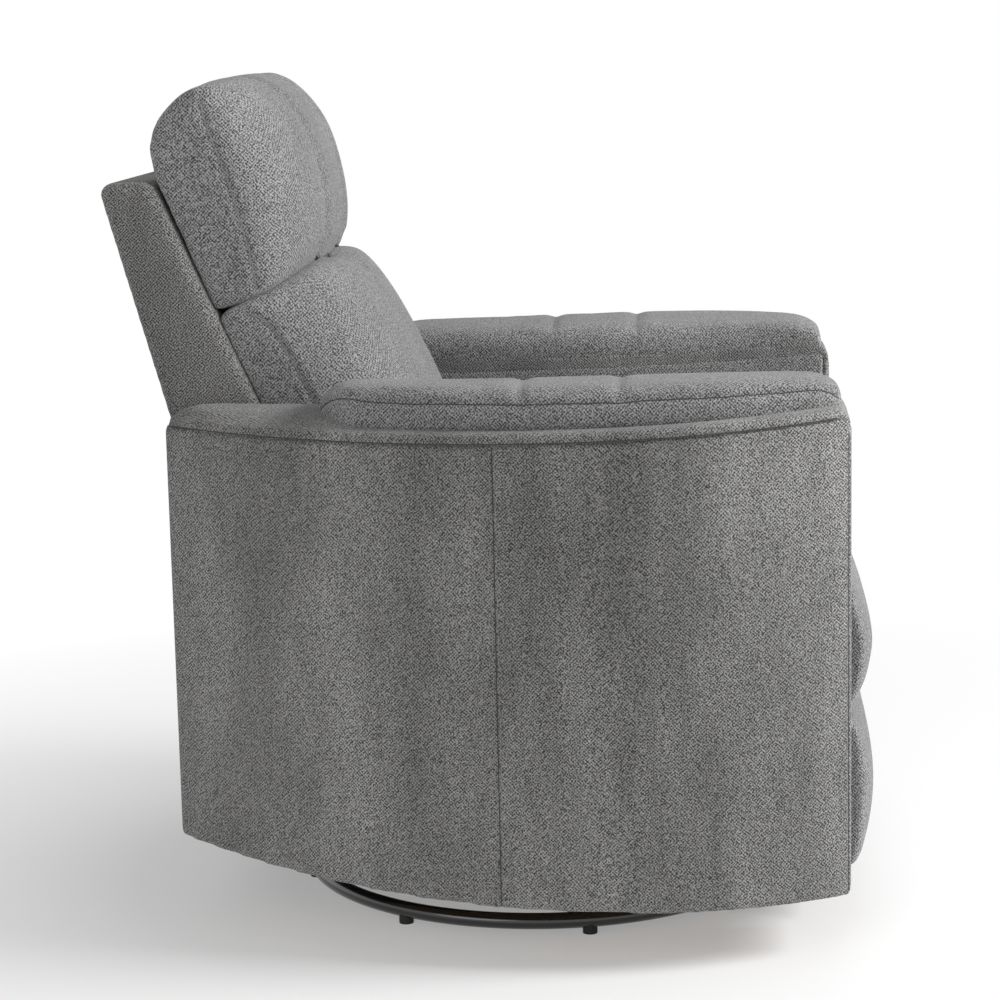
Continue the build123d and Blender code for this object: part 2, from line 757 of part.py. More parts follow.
bracket_half = 50.0
bracket_outline = [
    (board_rear_y, panel_pivot[1] - bracket_half),
    (board_rear_y, panel_pivot[1] + bracket_half),
    (panel_pivot[0] + 12, panel_pivot[1] + 14),
    (panel_pivot[0] + 12, panel_pivot[1] - 14),
]
bracket = side_prism(bracket_outline, bracket_x0, bracket_x1)
foot_z = (panel_pivot[1] - bracket_half, panel_pivot[1] + bracket_half)
bracket += block(bracket_x0 - 20, bracket_x1, board_rear_y, board_rear_y + 3, *foot_z)
bracket += bar_x(bracket_x0, outer_x1 + 0.5, *panel_pivot, footrest_pin_r)
save("footrest_brackets", group([bracket, mirror(bracket, about=Plane.YZ)]))

board_front_y = board_rear_y - footrest_board_t
board_z_range = (panel_bottom + 6, panel_top - 6)
board = block(-cushion_half + 6, cushion_half - 6, board_front_y, board_rear_y, *board_z_range)
save("footrest_board", board)


def footrest_pad(name, z0, z1):
    middle = (z0 + z1) / 2
    edge_y = board_front_y - pad_edge
    side = (
        (board_front_y, z0 + 5),
        ((board_front_y - pad_edge * 0.6, z0 + 6), (edge_y + 3, z0 + 20)),
        ((edge_y - 3, middle), (edge_y + 3, z1 - 20)),
        ((board_front_y - pad_edge * 0.6, z1 - 6), (board_front_y, z1 - 5)),
        (None, (board_front_y, z0 + 5)),
    )
    crown_y = board_front_y - pad_crown
    centre = (
        (board_front_y, z0 + 1),
        ((board_front_y - pad_crown * 0.55, z0 + 11), (crown_y + 14, z0 + 32)),
        ((crown_y, middle), (crown_y + 14, z1 - 32)),
        ((board_front_y - pad_crown * 0.55, z1 - 11), (board_front_y, z1 - 1)),
        (None, (board_front_y, z0 + 1)),
    )
    stations = mirrored([(0, 1), (90, 0.98), (170, 0.88), (222, 0.55), (cushion_half, 0.0)])
    save(name, crowned(side, centre, stations))


footrest_pad("footrest_pad_lower", panel_bottom, panel_split)
footrest_pad("footrest_pad_upper", panel_split, panel_top)


# -------------------------------------------------------------- linear actuators
def yoke(clearance, travel_height, reach):
    """Slotted fork on a rod that points along +Z with its pin at the origin."""
    slot_r = yoke_pin_r + clearance
    cheek_half = travel_height / 2 + slot_r + 5
    cheek_x0 = yoke_gap / 2
    cheek = block(cheek_x0, cheek_x0 + yoke_t, -cheek_half, cheek_half, -reach, slot_r + 5)
    slot = block(cheek_x0, cheek_x0 + yoke_t, -travel_height / 2, travel_height / 2, -slot_r, slot_r)
    for end in (-travel_height / 2, travel_height / 2):
        slot += bar_x(cheek_x0, cheek_x0 + yoke_t, end, 0, slot_r)
    fork = both_sides(cheek - slot)
    return fork + block(-cheek_x0, cheek_x0, -cheek_half, cheek_half, -reach, -reach + yoke_t)


def lug(pivot, pin, x):
    plate = link_plate(pivot, pin, x - yoke_gap / 2 + 1, x + yoke_gap / 2 - 1, 16, 9, yoke_pin_r)
    pin_half = yoke_gap / 2 + yoke_t + 1
    return plate + bar_x(x - pin_half, x + pin_half, *pin, yoke_pin_r)


# footrest: the torque tube's lug swings equally to both sides of straight down
lug_angle = drive_turn / 2
footrest_pin = swing((drive_pivot_y, drive_pivot_z - drive_arm), drive_pivot, lug_angle)
lug_drop = drive_arm * (1 - cos(radians(lug_angle)))
footrest_stroke = 2 * drive_arm * sin(radians(lug_angle))
drive += lug(drive_pivot, footrest_pin, footrest_rod_x)
save("footrest_drive_links", drive)

yoke_reach = 24.0
footrest_reach = 36.0
footrest_slack = 3.0
back_slack = 1.2
towards_front = Pos(footrest_rod_x, footrest_pin[0], footrest_rod_z) * Rot(90, 0, 0)
footrest_mouth = footrest_reach + 2
footrest_bore_end = rear_motor_y - footrest_pin[0] - 10
footrest_rod_end = footrest_mouth + footrest_stroke + 40
rod = yoke(footrest_slack, lug_drop, footrest_reach)
rod_length = footrest_rod_end - footrest_reach
rod += Pos(0, 0, -(footrest_reach + footrest_rod_end) / 2) * Cylinder(rod_r, rod_length)
save("footrest_rod", towards_front * rod)
housing_end = rear_motor_y - footrest_pin[0]
housing = disc(0, 0, -housing_end, -footrest_mouth, actuator_r)
motor_z = (-housing_end, -housing_end + motor_width)
housing += block(-motor_width / 2, motor_width / 2, -actuator_r - motor_drop, actuator_r, *motor_z)
housing -= disc(0, 0, -footrest_bore_end, -footrest_mouth, rod_r + rod_clearance)
save("footrest_actuator", towards_front * housing)

# back: the lug under the hinge tube swings forward as the back leans
back_lug_angle = back_recline / 2
hinge = (hinge_y, hinge_z)
back_pin = swing((hinge_y, hinge_z - back_drive_arm), hinge, back_lug_angle)
back_drop = back_drive_arm * (1 - cos(radians(back_lug_angle)))
back_stroke = 2 * back_drive_arm * sin(radians(back_lug_angle))
towards_rear = Pos(back_rod_x, back_pin[0], back_rod_z) * Rot(-90, 0, 0)
back_mouth = yoke_reach + back_stroke + 3
back_front_end = back_pin[0] - front_motor_y - seat_tube
back_rod_end = back_mouth + 40
rod = yoke(back_slack, back_drop, yoke_reach)
rod += Pos(0, 0, -(yoke_reach + back_rod_end) / 2) * Cylinder(rod_r, back_rod_end - yoke_reach)
save("back_rod", towards_rear * rod)
housing = disc(0, 0, -back_front_end, -back_mouth, actuator_r)
motor_z = (-back_front_end, -back_front_end + motor_width)
housing += block(-motor_width / 2, motor_width / 2, -actuator_r, actuator_r + motor_drop, *motor_z)
housing -= disc(0, 0, -back_front_end + 5, -back_mouth, rod_r + rod_clearance)
save("back_actuator", towards_rear * housing)


# ---------------------------------------------------------------- back assembly
def back_outline(inset):
    """Wedge side view of the back: rear line, top and front line, drawn in by inset."""
    height = back_top_z - back_bottom_z
    rear_shift = inset * hypot(height, back_rear_run) / height
    rear_low = back_rear_y - back_rear_run - rear_shift
    top = back_top_z - inset
    rear_high = back_rear_y - rear_shift - inset * back_rear_run / height
    front_high = back_front_y - inset * back_front_run / height
    front_low = back_front_y - back_front_run
    return [(front_low, back_bottom_z), (rear_low, back_bottom_z), (rear_high, top), (front_high, top)]


def front_line_y(z):
    """The front face of the back frame at height z."""
    return back_front_y - back_front_run * (back_top_z - z) / (back_top_z - back_bottom_z)


wedge = make_face(Polyline(*back_outline(0), close=True))
wedge = fillet([v for v in wedge.vertices() if v.Y > back_top_z - 1], back_corner_r)
outer_back = extrude(side_plane(-back_half) * wedge, amount=2 * back_half)
cavity_half = back_half - shell_t
front_panel_z = 770.0
cavity = side_prism(back_outline(shell_t), -cavity_half, cavity_half)
front_slab_outline = [
    (front_line_y(front_panel_z), front_panel_z),
    (front_line_y(front_panel_z) + shell_t, front_panel_z),
    (front_line_y(back_top_z) + shell_t, back_top_z),
    (front_line_y(back_top_z), back_top_z),
]
cavity -= side_prism(front_slab_outline, -cavity_half, cavity_half)
slot_gap = 3.0
rod_slot_half = yoke_gap / 2 + yoke_t + 1 + slot_gap
panel_y = front_line_y(front_panel_z)
rod_notch = block(-rod_slot_half, rod_slot_half, panel_y - 10, panel_y + 35, front_panel_z - 10, 835)
save("back_shell", outer_back - cavity - rod_notch)

post_x0 = cavity_half - frame_board
posts = both_sides(side_prism(back_outline(shell_t), post_x0, cavity_half) & cavity)
posts -= bar_x(-back_half, back_half, hinge_y, hinge_z, 1.6 * hinge_ear)
rail_size = (22.0, 40.0)
top_rail_z = 725.0
top_rail_y = front_line_y(top_rail_z + rail_size[1]) + 3
top_rail = (top_rail_y, top_rail_y + rail_size[0], top_rail_z, top_rail_z + rail_size[1])
low_rail_z = (back_bottom_z + 55, back_bottom_z + 85)
low_rail_y = front_line_y(low_rail_z[1]) + 51.6
low_rail = (low_rail_y, low_rail_y + 40, *low_rail_z)
crest_rail_z = (back_top_z - 45, back_top_z - 15)
crest_rail_y = front_line_y(crest_rail_z[1]) + 15
crest_rail = (crest_rail_y, crest_rail_y + 26, *crest_rail_z)
back_frame = posts
for rail in (top_rail, low_rail, crest_rail):
    back_frame += block(-post_x0, post_x0, *rail)
save("back_frame", back_frame)

hinge_arm_x0 = post_x0 - footrest_link_t
arm_end_z = 500.0
arm_end = (front_line_y(arm_end_z) + 50, arm_end_z)
hinge_frame = link_plate(hinge, arm_end, hinge_arm_x0, post_x0, 28, 15, 3)
hinge_frame = both_sides(hinge_frame)
hinge_frame += bar_x(-rail_x0, rail_x0, *hinge, torque_tube_r)
hinge_frame += lug(hinge, back_pin, back_rod_x)
save("back_hinge_frame", hinge_frame)

lean = degrees(atan2(back_front_run, back_top_z - back_bottom_z))
back_springs = []
for i in range(back_spring_count):
    z = 440 + i * 60
    origin = (-post_x0, front_line_y(z) + spring_wire_r + 1, z)
    across = Plane(origin=origin, x_dir=(1, 0, 0), z_dir=(0, -cos(radians(lean)), sin(radians(lean))))
    back_springs.append(serpentine((0, 0), 2 * post_x0, 36, spring_wave, across))
save("back_springs", group(back_springs))

# ------------------------------------------------------------ headrest hardware
head_pivot = (head_pivot_y, head_pivot_z)
half_tilt = head_tilt / 2
lean_dir = radians(head_rod_lean)
pin_middle = (head_pivot_y + head_arm * cos(lean_dir), head_pivot_z - head_arm * sin(lean_dir))
head_pin = swing(pin_middle, head_pivot, -half_tilt)
head_drop = head_arm * (1 - cos(radians(half_tilt)))
head_stroke = 2 * head_arm * sin(radians(half_tilt))
up_the_back = Pos(0, *head_pin) * Rot(-head_rod_lean, 0, 0) * Pos(0, head_drop / 2, 0)
bracket_gap = 1.0
mount_t = 3.0
mount_x = (head_bracket_x, head_bracket_x + mount_t)
mount_start = (top_rail_y + rail_size[0] / 2, top_rail_z + rail_size[1] / 2)
head_mount = link_plate(mount_start, head_pivot, *mount_x, 20, 10, 4 + run_clearance)
head_mount -= block(*mount_x, *top_rail)
head_mount -= block(*mount_x, top_rail[1], top_rail[1] + 20, *top_rail[2:])
save("head_mounts", group([head_mount, mirror(head_mount, about=Plane.YZ)]))

head_frame = bar_x(-head_bracket_x + bracket_gap, head_bracket_x - bracket_gap, *head_pivot, 8)
head_frame += bar_x(-mount_x[1] - 2, mount_x[1] + 2, *head_pivot, 4)
head_top = (310.0, 985.0)
upright_x = (head_bracket_x - 14, head_bracket_x - 10)
head_frame += both_sides(link_plate(head_pivot, head_top, *upright_x, 18, 10, 2))
cross_plate = (head_top[0] - 2, head_top[0] + 2, head_top[1] - 60, head_top[1] - 10)
head_frame += block(-upright_x[0], upright_x[0], *cross_plate)
head_frame += lug(head_pivot, head_pin, 0)
save("head_frame", head_frame)

rod = yoke(back_slack, head_drop, yoke_reach)
head_mouth = 175.0
head_rod_end = head_mouth + head_stroke + 20
rod += Pos(0, 0, -(yoke_reach + head_rod_end) / 2) * Cylinder(rod_r, head_rod_end - yoke_reach)
save("head_rod", up_the_back * rod)
head_housing = up_the_back * disc(0, 0, -head_rod_end - 90, -head_mouth, actuator_r - 3)
motor_rest = (low_rail[0] + 1, low_rail[1] - 1, low_rail[3], low_rail[3] + motor_width)
head_housing += block(-motor_width / 2, motor_width / 2, *motor_rest)
head_housing -= up_the_back * disc(0, 0, -head_rod_end - 5, -head_mouth, rod_r + rod_clearance)
save("head_actuator", head_housing - block(-post_x0, post_x0, *low_rail))

# slots in the soft parts for the headrest hardware and its swing
head_slots = bar_x(-mount_x[1] - 6, mount_x[1] + 6, *head_pivot, 8 + slot_gap)
head_slots += up_the_back * block(-rod_slot_half, rod_slot_half, -20, 20, -head_mouth, 66)
head_slots += both_sides(block(mount_x[0] - slot_gap, mount_x[1] + slot_gap, 222, 372, 735, 838))
lug_slot = block(-rod_slot_half, rod_slot_half, 225, 350, 750, 826)

# back cushion: plump front, boxed sides, top that carries the headrest
back_side = (
    (front_line_y(430) - face_gap, 430),
    (None, (158, 478)),
    ((170, 560), (221, 657)),
    ((258, 716), (296, 758)),
    (None, (front_line_y(750) - face_gap, 750)),
    (None, (front_line_y(430) - face_gap, 430)),
)
back_centre = (
    (front_line_y(430) - face_gap, 430),
    (None, (112, 496)),
    ((72, 570), (91, 637)),
    ((145, 742), (222, 806)),
    (None, (front_line_y(750) - face_gap, 750)),
    (None, (front_line_y(430) - face_gap, 430)),
)
back_stations = mirrored([(0, 1), (90, 0.96), (160, 0.8), (212, 0.45), (back_cushion_half, 0.0)])
back_cushion = crowned(back_side, back_centre, back_stations) - head_slots - lug_slot
save("back_cushion", back_cushion)

# headrest cushion: front face in three upright channels, domed rear
head_side = (
    (front_line_y(758) - face_gap, 758),
    (None, (284, 779)),
    ((303, 870), (334, 977)),
    ((341, 1002), (338, 1029)),
    ((375, 1016), (399, 985)),
    ((406, 958), (front_line_y(912) - face_gap, 912)),
    (None, (front_line_y(758) - face_gap, 758)),
)
head_centre = (
    (front_line_y(758) - face_gap, 758),
    (None, (224, 817)),
    ((208, 880), (230, 975)),
    ((262, 1020), (316, 1040)),
    ((378, 1024), (402, 988)),
    ((409, 958), (front_line_y(912) - face_gap, 912)),
    (None, (front_line_y(758) - face_gap, 758)),
)
dip = channel_depth / 100
head_stations = mirrored([
    (0, 1), (channel_x * 0.6, 0.99), (channel_x, 0.97 - dip), (channel_x * 1.4, 0.93),
    (170, 0.8), (215, 0.45), (head_half, 0.0),
])
head_cushion = crowned(head_side, head_centre, head_stations) - head_slots - lug_slot - head_frame
save("head_cushion", head_cushion)
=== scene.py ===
import math

import bmesh
import bpy
import numpy as np
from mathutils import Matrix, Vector
from mathutils.bvhtree import BVHTree


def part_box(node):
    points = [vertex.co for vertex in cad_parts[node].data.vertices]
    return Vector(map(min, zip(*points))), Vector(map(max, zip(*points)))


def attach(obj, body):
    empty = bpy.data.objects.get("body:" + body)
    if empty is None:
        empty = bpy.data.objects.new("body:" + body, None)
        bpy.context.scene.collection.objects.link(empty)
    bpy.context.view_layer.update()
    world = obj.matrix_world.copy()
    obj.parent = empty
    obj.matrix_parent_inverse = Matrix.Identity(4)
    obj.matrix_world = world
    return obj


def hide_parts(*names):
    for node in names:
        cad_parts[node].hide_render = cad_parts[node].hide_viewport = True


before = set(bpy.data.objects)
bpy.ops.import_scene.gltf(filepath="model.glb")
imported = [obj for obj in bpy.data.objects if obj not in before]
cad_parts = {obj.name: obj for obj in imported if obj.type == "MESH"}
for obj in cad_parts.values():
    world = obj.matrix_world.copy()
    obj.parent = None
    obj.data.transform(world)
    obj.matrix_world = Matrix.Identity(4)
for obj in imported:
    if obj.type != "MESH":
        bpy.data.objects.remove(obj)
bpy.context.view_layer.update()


# ---------------------------------------------------------------- ring base
# The tube ring is rolled from round steel tube and powder coated in gloss
# black. Crossed flat bars are welded inside it and carry the swivel bearing.
def new_material(name):
    material = bpy.data.materials.new(name)
    material.use_nodes = True
    nodes = material.node_tree.nodes
    nodes.clear()
    shader = nodes.new("ShaderNodeBsdfPrincipled")
    output = nodes.new("ShaderNodeOutputMaterial")
    material.node_tree.links.new(shader.outputs[0], output.inputs[0])
    return material, material.node_tree, shader


def new_group(name, inputs, outputs):
    tree = bpy.data.node_groups.new(name, "ShaderNodeTree")
    for label, kind, value in inputs:
        socket = tree.interface.new_socket(label, in_out="INPUT", socket_type=kind)
        socket.default_value = value
    for label, kind in outputs:
        tree.interface.new_socket(label, in_out="OUTPUT", socket_type=kind)
    return tree, tree.nodes.new("NodeGroupInput"), tree.nodes.new("NodeGroupOutput")


def place_group(tree, group, **values):
    node = tree.nodes.new("ShaderNodeGroup")
    node.node_tree = group
    for label, value in values.items():
        node.inputs[label.replace("_", " ")].default_value = value
    return node


def math_node(tree, operation, *values, clamp=False):
    node = tree.nodes.new("ShaderNodeMath")
    node.operation = operation
    node.use_clamp = clamp
    for socket, value in zip(node.inputs, values):
        if isinstance(value, (int, float)):
            socket.default_value = value
        else:
            tree.links.new(value, socket)
    return node.outputs[0]


def noise_node(tree, vector, scale, detail=3.0, roughness=0.5):
    node = tree.nodes.new("ShaderNodeTexNoise")
    node.inputs["Scale"].default_value = scale
    node.inputs["Detail"].default_value = detail
    node.inputs["Roughness"].default_value = roughness
    if vector is not None:
        tree.links.new(vector, node.inputs["Vector"])
    return node.outputs["Fac"]


def make_coat_group():
    """Sprayed coat: fine orange peel, a little dust and handling haze."""
    tree, given, result = new_group(
        "sprayed_coat",
        [("Peel Scale", "NodeSocketFloat", 900.0), ("Haze Scale", "NodeSocketFloat", 14.0)],
        [("Peel", "NodeSocketFloat"), ("Haze", "NodeSocketFloat")],
    )
    place = tree.nodes.new("ShaderNodeTexCoord").outputs["Object"]
    for label, detail in (("Peel", 2.0), ("Haze", 5.0)):
        node = tree.nodes.new("ShaderNodeTexNoise")
        node.inputs["Detail"].default_value = detail
        tree.links.new(place, node.inputs["Vector"])
        tree.links.new(given.outputs[label + " Scale"], node.inputs["Scale"])
        tree.links.new(node.outputs["Fac"], result.inputs[label])
    return tree


coat_group = make_coat_group()


def ramp_node(tree, value, low, high, start=0.3, end=0.7):
    node = tree.nodes.new("ShaderNodeMapRange")
    node.inputs["From Min"].default_value = start
    node.inputs["From Max"].default_value = end
    node.inputs["To Min"].default_value = low
    node.inputs["To Max"].default_value = high
    tree.links.new(value, node.inputs["Value"])
    return node.outputs["Result"]


def mix_colour(tree, factor, low, high):
    node = tree.nodes.new("ShaderNodeMix")
    node.data_type = "RGBA"
    tree.links.new(factor, node.inputs["Factor"])
    node.inputs["A"].default_value = (*low, 1)
    node.inputs["B"].default_value = (*high, 1)
    return node.outputs["Result"]


def bump_node(tree, height, strength, distance):
    node = tree.nodes.new("ShaderNodeBump")
    node.inputs["Strength"].default_value = strength
    node.inputs["Distance"].default_value = distance
    tree.links.new(height, node.inputs["Height"])
    return node.outputs["Normal"]


def coated_metal(name, colour, hazed, roughness, coat=0.0, metallic=0.0, peel=900.0):
    material, tree, shader = new_material(name)
    shader.inputs["Metallic"].default_value = metallic
    shader.inputs["Coat Weight"].default_value = coat
    shader.inputs["Coat Roughness"].default_value = 0.06
    surface = place_group(tree, coat_group, Peel_Scale=peel, Haze_Scale=14.0)
    colours = mix_colour(tree, surface.outputs["Haze"], colour, hazed)
    tree.links.new(colours, shader.inputs["Base Color"])
    gloss = ramp_node(tree, surface.outputs["Haze"], roughness * 0.8, roughness * 1.3)
    tree.links.new(gloss, shader.inputs["Roughness"])
    tree.links.new(bump_node(tree, surface.outputs["Peel"], 0.25, 0.0002), shader.inputs["Normal"])
    return material


def dress(material, *names):
    for name in names:
        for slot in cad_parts[name].material_slots:
            slot.material = material


gloss_black = coated_metal("gloss_black_ring", (0.006, 0.006, 0.007), (0.012, 0.012, 0.012), 0.22, coat=0.6)
satin_black = coated_metal("satin_black_steel", (0.012, 0.012, 0.012), (0.03, 0.03, 0.03), 0.5)
zinc = coated_metal(
    "zinc_plated_steel", (0.55, 0.55, 0.53), (0.68, 0.68, 0.66), 0.32, metallic=1.0, peel=400.0
)
dress(gloss_black, "base_ring")
dress(satin_black, "base_spider")
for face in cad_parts["base_ring"].data.polygons:
    face.use_smooth = True


# --------------------------------------------------------------- floor glides
# Eight turned rubber feet are pressed under the ring and keep the tube just
# clear of the floor.
def moulded(name, colour, grain_scale, roughness):
    material, tree, shader = new_material(name)
    place = tree.nodes.new("ShaderNodeTexCoord").outputs["Object"]
    grain = noise_node(tree, place, grain_scale, 2.0)
    wear = noise_node(tree, place, 22.0, 4.0)
    lighter = tuple(min(1.0, c * 1.5 + 0.005) for c in colour)
    tree.links.new(mix_colour(tree, wear, colour, lighter), shader.inputs["Base Color"])
    dullest = min(1.0, roughness * 1.15)
    tree.links.new(ramp_node(tree, wear, roughness * 0.9, dullest), shader.inputs["Roughness"])
    tree.links.new(bump_node(tree, grain, 0.3, 0.0002), shader.inputs["Normal"])
    return material


foot_rubber = moulded("foot_rubber", (0.012, 0.012, 0.012), 700.0, 0.75)
dress(foot_rubber, "base_glides")

# ------------------------------------------------------------- swivel bearing
# Two pressed races run on a ring of balls around the king pin. A nylon bush
# and a lock nut keep the turning plate down on them.
nylon = moulded("nylon_bush", (0.62, 0.6, 0.55), 500.0, 0.45)
dress(zinc, "lower_race", "upper_race", "bearing_balls", "king_pin", "king_nut", "swivel_bolts")
dress(nylon, "swivel_bushing")

# -------------------------------------------------------------- glide hangers
# The turning plate carries two upright cheeks. Four flat links hang from
# them and hold the chair's platform, so that the seat glides to and fro.
dress(satin_black, "swivel_plate", "glider_base", "front_glide_links", "rear_glide_links", "glide_platform")
dress(zinc, "glide_upper_pins")


# ------------------------------------------------------- timber of seat and arms
# Rails, posts and shaped boards are sawn hardwood and plywood, glued and
# stapled. They hide under the cloth and show only from below and behind.
def sawn_timber(name, light, dark):
    material, tree, shader = new_material(name)
    place = tree.nodes.new("ShaderNodeTexCoord").outputs["Object"]
    stretch = tree.nodes.new("ShaderNodeMapping")
    stretch.inputs["Scale"].default_value = (40.0, 4.0, 40.0)
    tree.links.new(place, stretch.inputs["Vector"])
    figure = noise_node(tree, stretch.outputs["Vector"], 2.2, 6.0, 0.65)
    fibre = noise_node(tree, stretch.outputs["Vector"], 14.0, 4.0, 0.6)
    both = math_node(tree, "MULTIPLY", figure, fibre)
    tone = ramp_node(tree, both, 0.0, 1.0, 0.1, 0.45)
    tree.links.new(mix_colour(tree, tone, dark, light), shader.inputs["Base Color"])
    tree.links.new(ramp_node(tree, fibre, 0.6, 0.85), shader.inputs["Roughness"])
    tree.links.new(bump_node(tree, fibre, 0.35, 0.0006), shader.inputs["Normal"])
    return material


timber = sawn_timber("sawn_timber", (0.56, 0.4, 0.24), (0.36, 0.23, 0.12))
dress(timber, "base_rails", "left_arm_frame", "right_arm_frame", "back_frame", "footrest_board")


# ------------------------------------------------------------- woven upholstery
# One mid-grey chenille covers the whole chair: plump light and dark yarns in a
# small hopsack weave, with a soft nap that lies a little differently in bands.
def make_weave_group():
    """Hopsack grains, per-yarn fleck and cloudy nap, projected along the three axes."""
    tree, given, result = new_group(
        "hopsack_weave",
        [("Yarn Pitch", "NodeSocketFloat", 0.0024), ("Nap Scale", "NodeSocketFloat", 7.0)],
        [("Grain", "NodeSocketFloat"), ("Fleck", "NodeSocketFloat"), ("Nap", "NodeSocketFloat")],
    )
    where = tree.nodes.new("ShaderNodeTexCoord")
    sway = tree.nodes.new("ShaderNodeTexNoise")
    sway.inputs["Scale"].default_value = 90.0
    sway.inputs["Detail"].default_value = 2.0
    tree.links.new(where.outputs["Object"], sway.inputs["Vector"])
    drift = tree.nodes.new("ShaderNodeVectorMath")
    drift.operation = "MULTIPLY_ADD"
    drift.inputs[1].default_value = (0.0045, 0.0045, 0.0045)
    tree.links.new(sway.outputs["Color"], drift.inputs[0])
    tree.links.new(where.outputs["Object"], drift.inputs[2])
    split = tree.nodes.new("ShaderNodeSeparateXYZ")
    tree.links.new(drift.outputs[0], split.inputs[0])
    turn = math_node(tree, "DIVIDE", math.pi, given.outputs["Yarn Pitch"])
    waves = [math_node(tree, "SINE", math_node(tree, "MULTIPLY", axis, turn)) for axis in split.outputs]
    facing = tree.nodes.new("ShaderNodeSeparateXYZ")
    tree.links.new(where.outputs["Normal"], facing.inputs[0])
    grain = None
    total = None
    for i in range(3):
        share = math_node(tree, "POWER", math_node(tree, "ABSOLUTE", facing.outputs[i]), 6.0)
        cell = math_node(tree, "MULTIPLY", waves[(i + 1) % 3], waves[(i + 2) % 3])
        part = math_node(tree, "MULTIPLY", cell, share)
        grain = part if grain is None else math_node(tree, "ADD", grain, part)
        total = share if total is None else math_node(tree, "ADD", total, share)
    even = math_node(tree, "DIVIDE", grain, math_node(tree, "MAXIMUM", total, 0.001))
    tree.links.new(math_node(tree, "MULTIPLY_ADD", even, 0.5, 0.5), result.inputs["Grain"])
    fleck = tree.nodes.new("ShaderNodeTexNoise")
    fleck.inputs["Detail"].default_value = 2.0
    fleck.inputs["Roughness"].default_value = 0.7
    tree.links.new(where.outputs["Object"], fleck.inputs["Vector"])
    tree.links.new(math_node(tree, "DIVIDE", 1.1, given.outputs["Yarn Pitch"]), fleck.inputs["Scale"])
    tree.links.new(fleck.outputs["Fac"], result.inputs["Fleck"])
    combed = tree.nodes.new("ShaderNodeMapping")
    combed.inputs["Scale"].default_value = (1.0, 1.0, 0.3)
    tree.links.new(where.outputs["Object"], combed.inputs["Vector"])
    nap = tree.nodes.new("ShaderNodeTexNoise")
    nap.inputs["Detail"].default_value = 4.0
    nap.inputs["Roughness"].default_value = 0.6
    tree.links.new(combed.outputs["Vector"], nap.inputs["Vector"])
    tree.links.new(given.outputs["Nap Scale"], nap.inputs["Scale"])
    tree.links.new(nap.outputs["Fac"], result.inputs["Nap"])
    return tree


weave_group = make_weave_group()


def chenille(name, dark, light, nap_depth, nap_scale=7.0, pitch=0.0024):
    material, tree, shader = new_material(name)
    shader.inputs["Sheen Weight"].default_value = 0.25
    shader.inputs["Sheen Roughness"].default_value = 0.5
    shader.inputs["Specular IOR Level"].default_value = 0.2
    cloth = place_group(tree, weave_group, Yarn_Pitch=pitch, Nap_Scale=nap_scale)
    fleck = ramp_node(tree, cloth.outputs["Fleck"], -0.85, 0.85, 0.3, 0.7)
    yarn = math_node(tree, "MULTIPLY_ADD", cloth.outputs["Grain"], 1.1, fleck)
    tone = math_node(tree, "SUBTRACT", yarn, 0.05, clamp=True)
    colours = mix_colour(tree, tone, dark, light)
    shade = tree.nodes.new("ShaderNodeMix")
    shade.data_type = "RGBA"
    shade.blend_type = "MULTIPLY"
    shade.inputs["Factor"].default_value = 1.0
    tree.links.new(colours, shade.inputs["A"])
    nap = ramp_node(tree, cloth.outputs["Nap"], 1.0 - nap_depth, 1.0, 0.35, 0.65)
    tree.links.new(nap, shade.inputs["B"])
    tree.links.new(shade.outputs["Result"], shader.inputs["Base Color"])
    tree.links.new(ramp_node(tree, cloth.outputs["Fleck"], 0.8, 0.98), shader.inputs["Roughness"])
    tree.links.new(bump_node(tree, yarn, 0.55, 0.0012), shader.inputs["Normal"])
    return material


panel_cloth = chenille("panel_chenille", (0.035, 0.034, 0.033), (0.47, 0.465, 0.455), 0.42, 8.0, 0.0021)
cushion_cloth = chenille("cushion_chenille", (0.04, 0.04, 0.04), (0.45, 0.45, 0.45), 0.2, 7.0, 0.0022)


def new_piece(name, mesh, material, body, slot_name, *nodes):
    piece = bpy.data.objects.new(name, mesh)
    bpy.context.scene.collection.objects.link(piece)
    mesh.materials.clear()
    mesh.materials.append(material)
    for face in mesh.polygons:
        face.use_smooth = True
    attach(piece, body)
    if nodes:
        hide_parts(*nodes)
    return piece


def applied(mesh, *settings):
    """A mesh after the given (kind, {property: value}) modifiers."""
    work = bpy.data.objects.new("work", mesh)
    bpy.context.scene.collection.objects.link(work)
    for kind, values in settings:
        modifier = work.modifiers.new(kind.lower(), kind)
        for label, value in values.items():
            setattr(modifier, label, value)
    shown = work.evaluated_get(bpy.context.evaluated_depsgraph_get())
    result = bpy.data.meshes.new_from_object(shown)
    bpy.data.objects.remove(work)
    return result


def joined_mesh(*nodes):
    """Several nodes' solids in one mesh."""
    whole = bmesh.new()
    for node in nodes:
        whole.from_mesh(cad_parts[node].data)
    mesh = bpy.data.meshes.new("joined")
    whole.to_mesh(mesh)
    whole.free()
    return mesh


def eased(mesh, voxel, smooth, wrap=0.0):
    """An even mesh with softened edges, thickened outward by the cover's wrap."""
    remesh = ("REMESH", {"mode": "VOXEL", "voxel_size": voxel, "adaptivity": 0.0})
    ease = ("SMOOTH", {"factor": 0.5, "iterations": smooth})
    result = applied(mesh, remesh, ease)
    if wrap:
        normals = np.empty(len(result.vertices) * 3)
        result.vertices.foreach_get("normal", normals)
        set_points(result, points_of(result) + wrap * normals.reshape(-1, 3))
    return result


def points_of(mesh):
    flat = np.empty(len(mesh.vertices) * 3)
    mesh.vertices.foreach_get("co", flat)
    return flat.reshape(-1, 3)


def set_points(mesh, points):
    mesh.vertices.foreach_set("co", points.astype(np.float32).ravel())
    mesh.update()


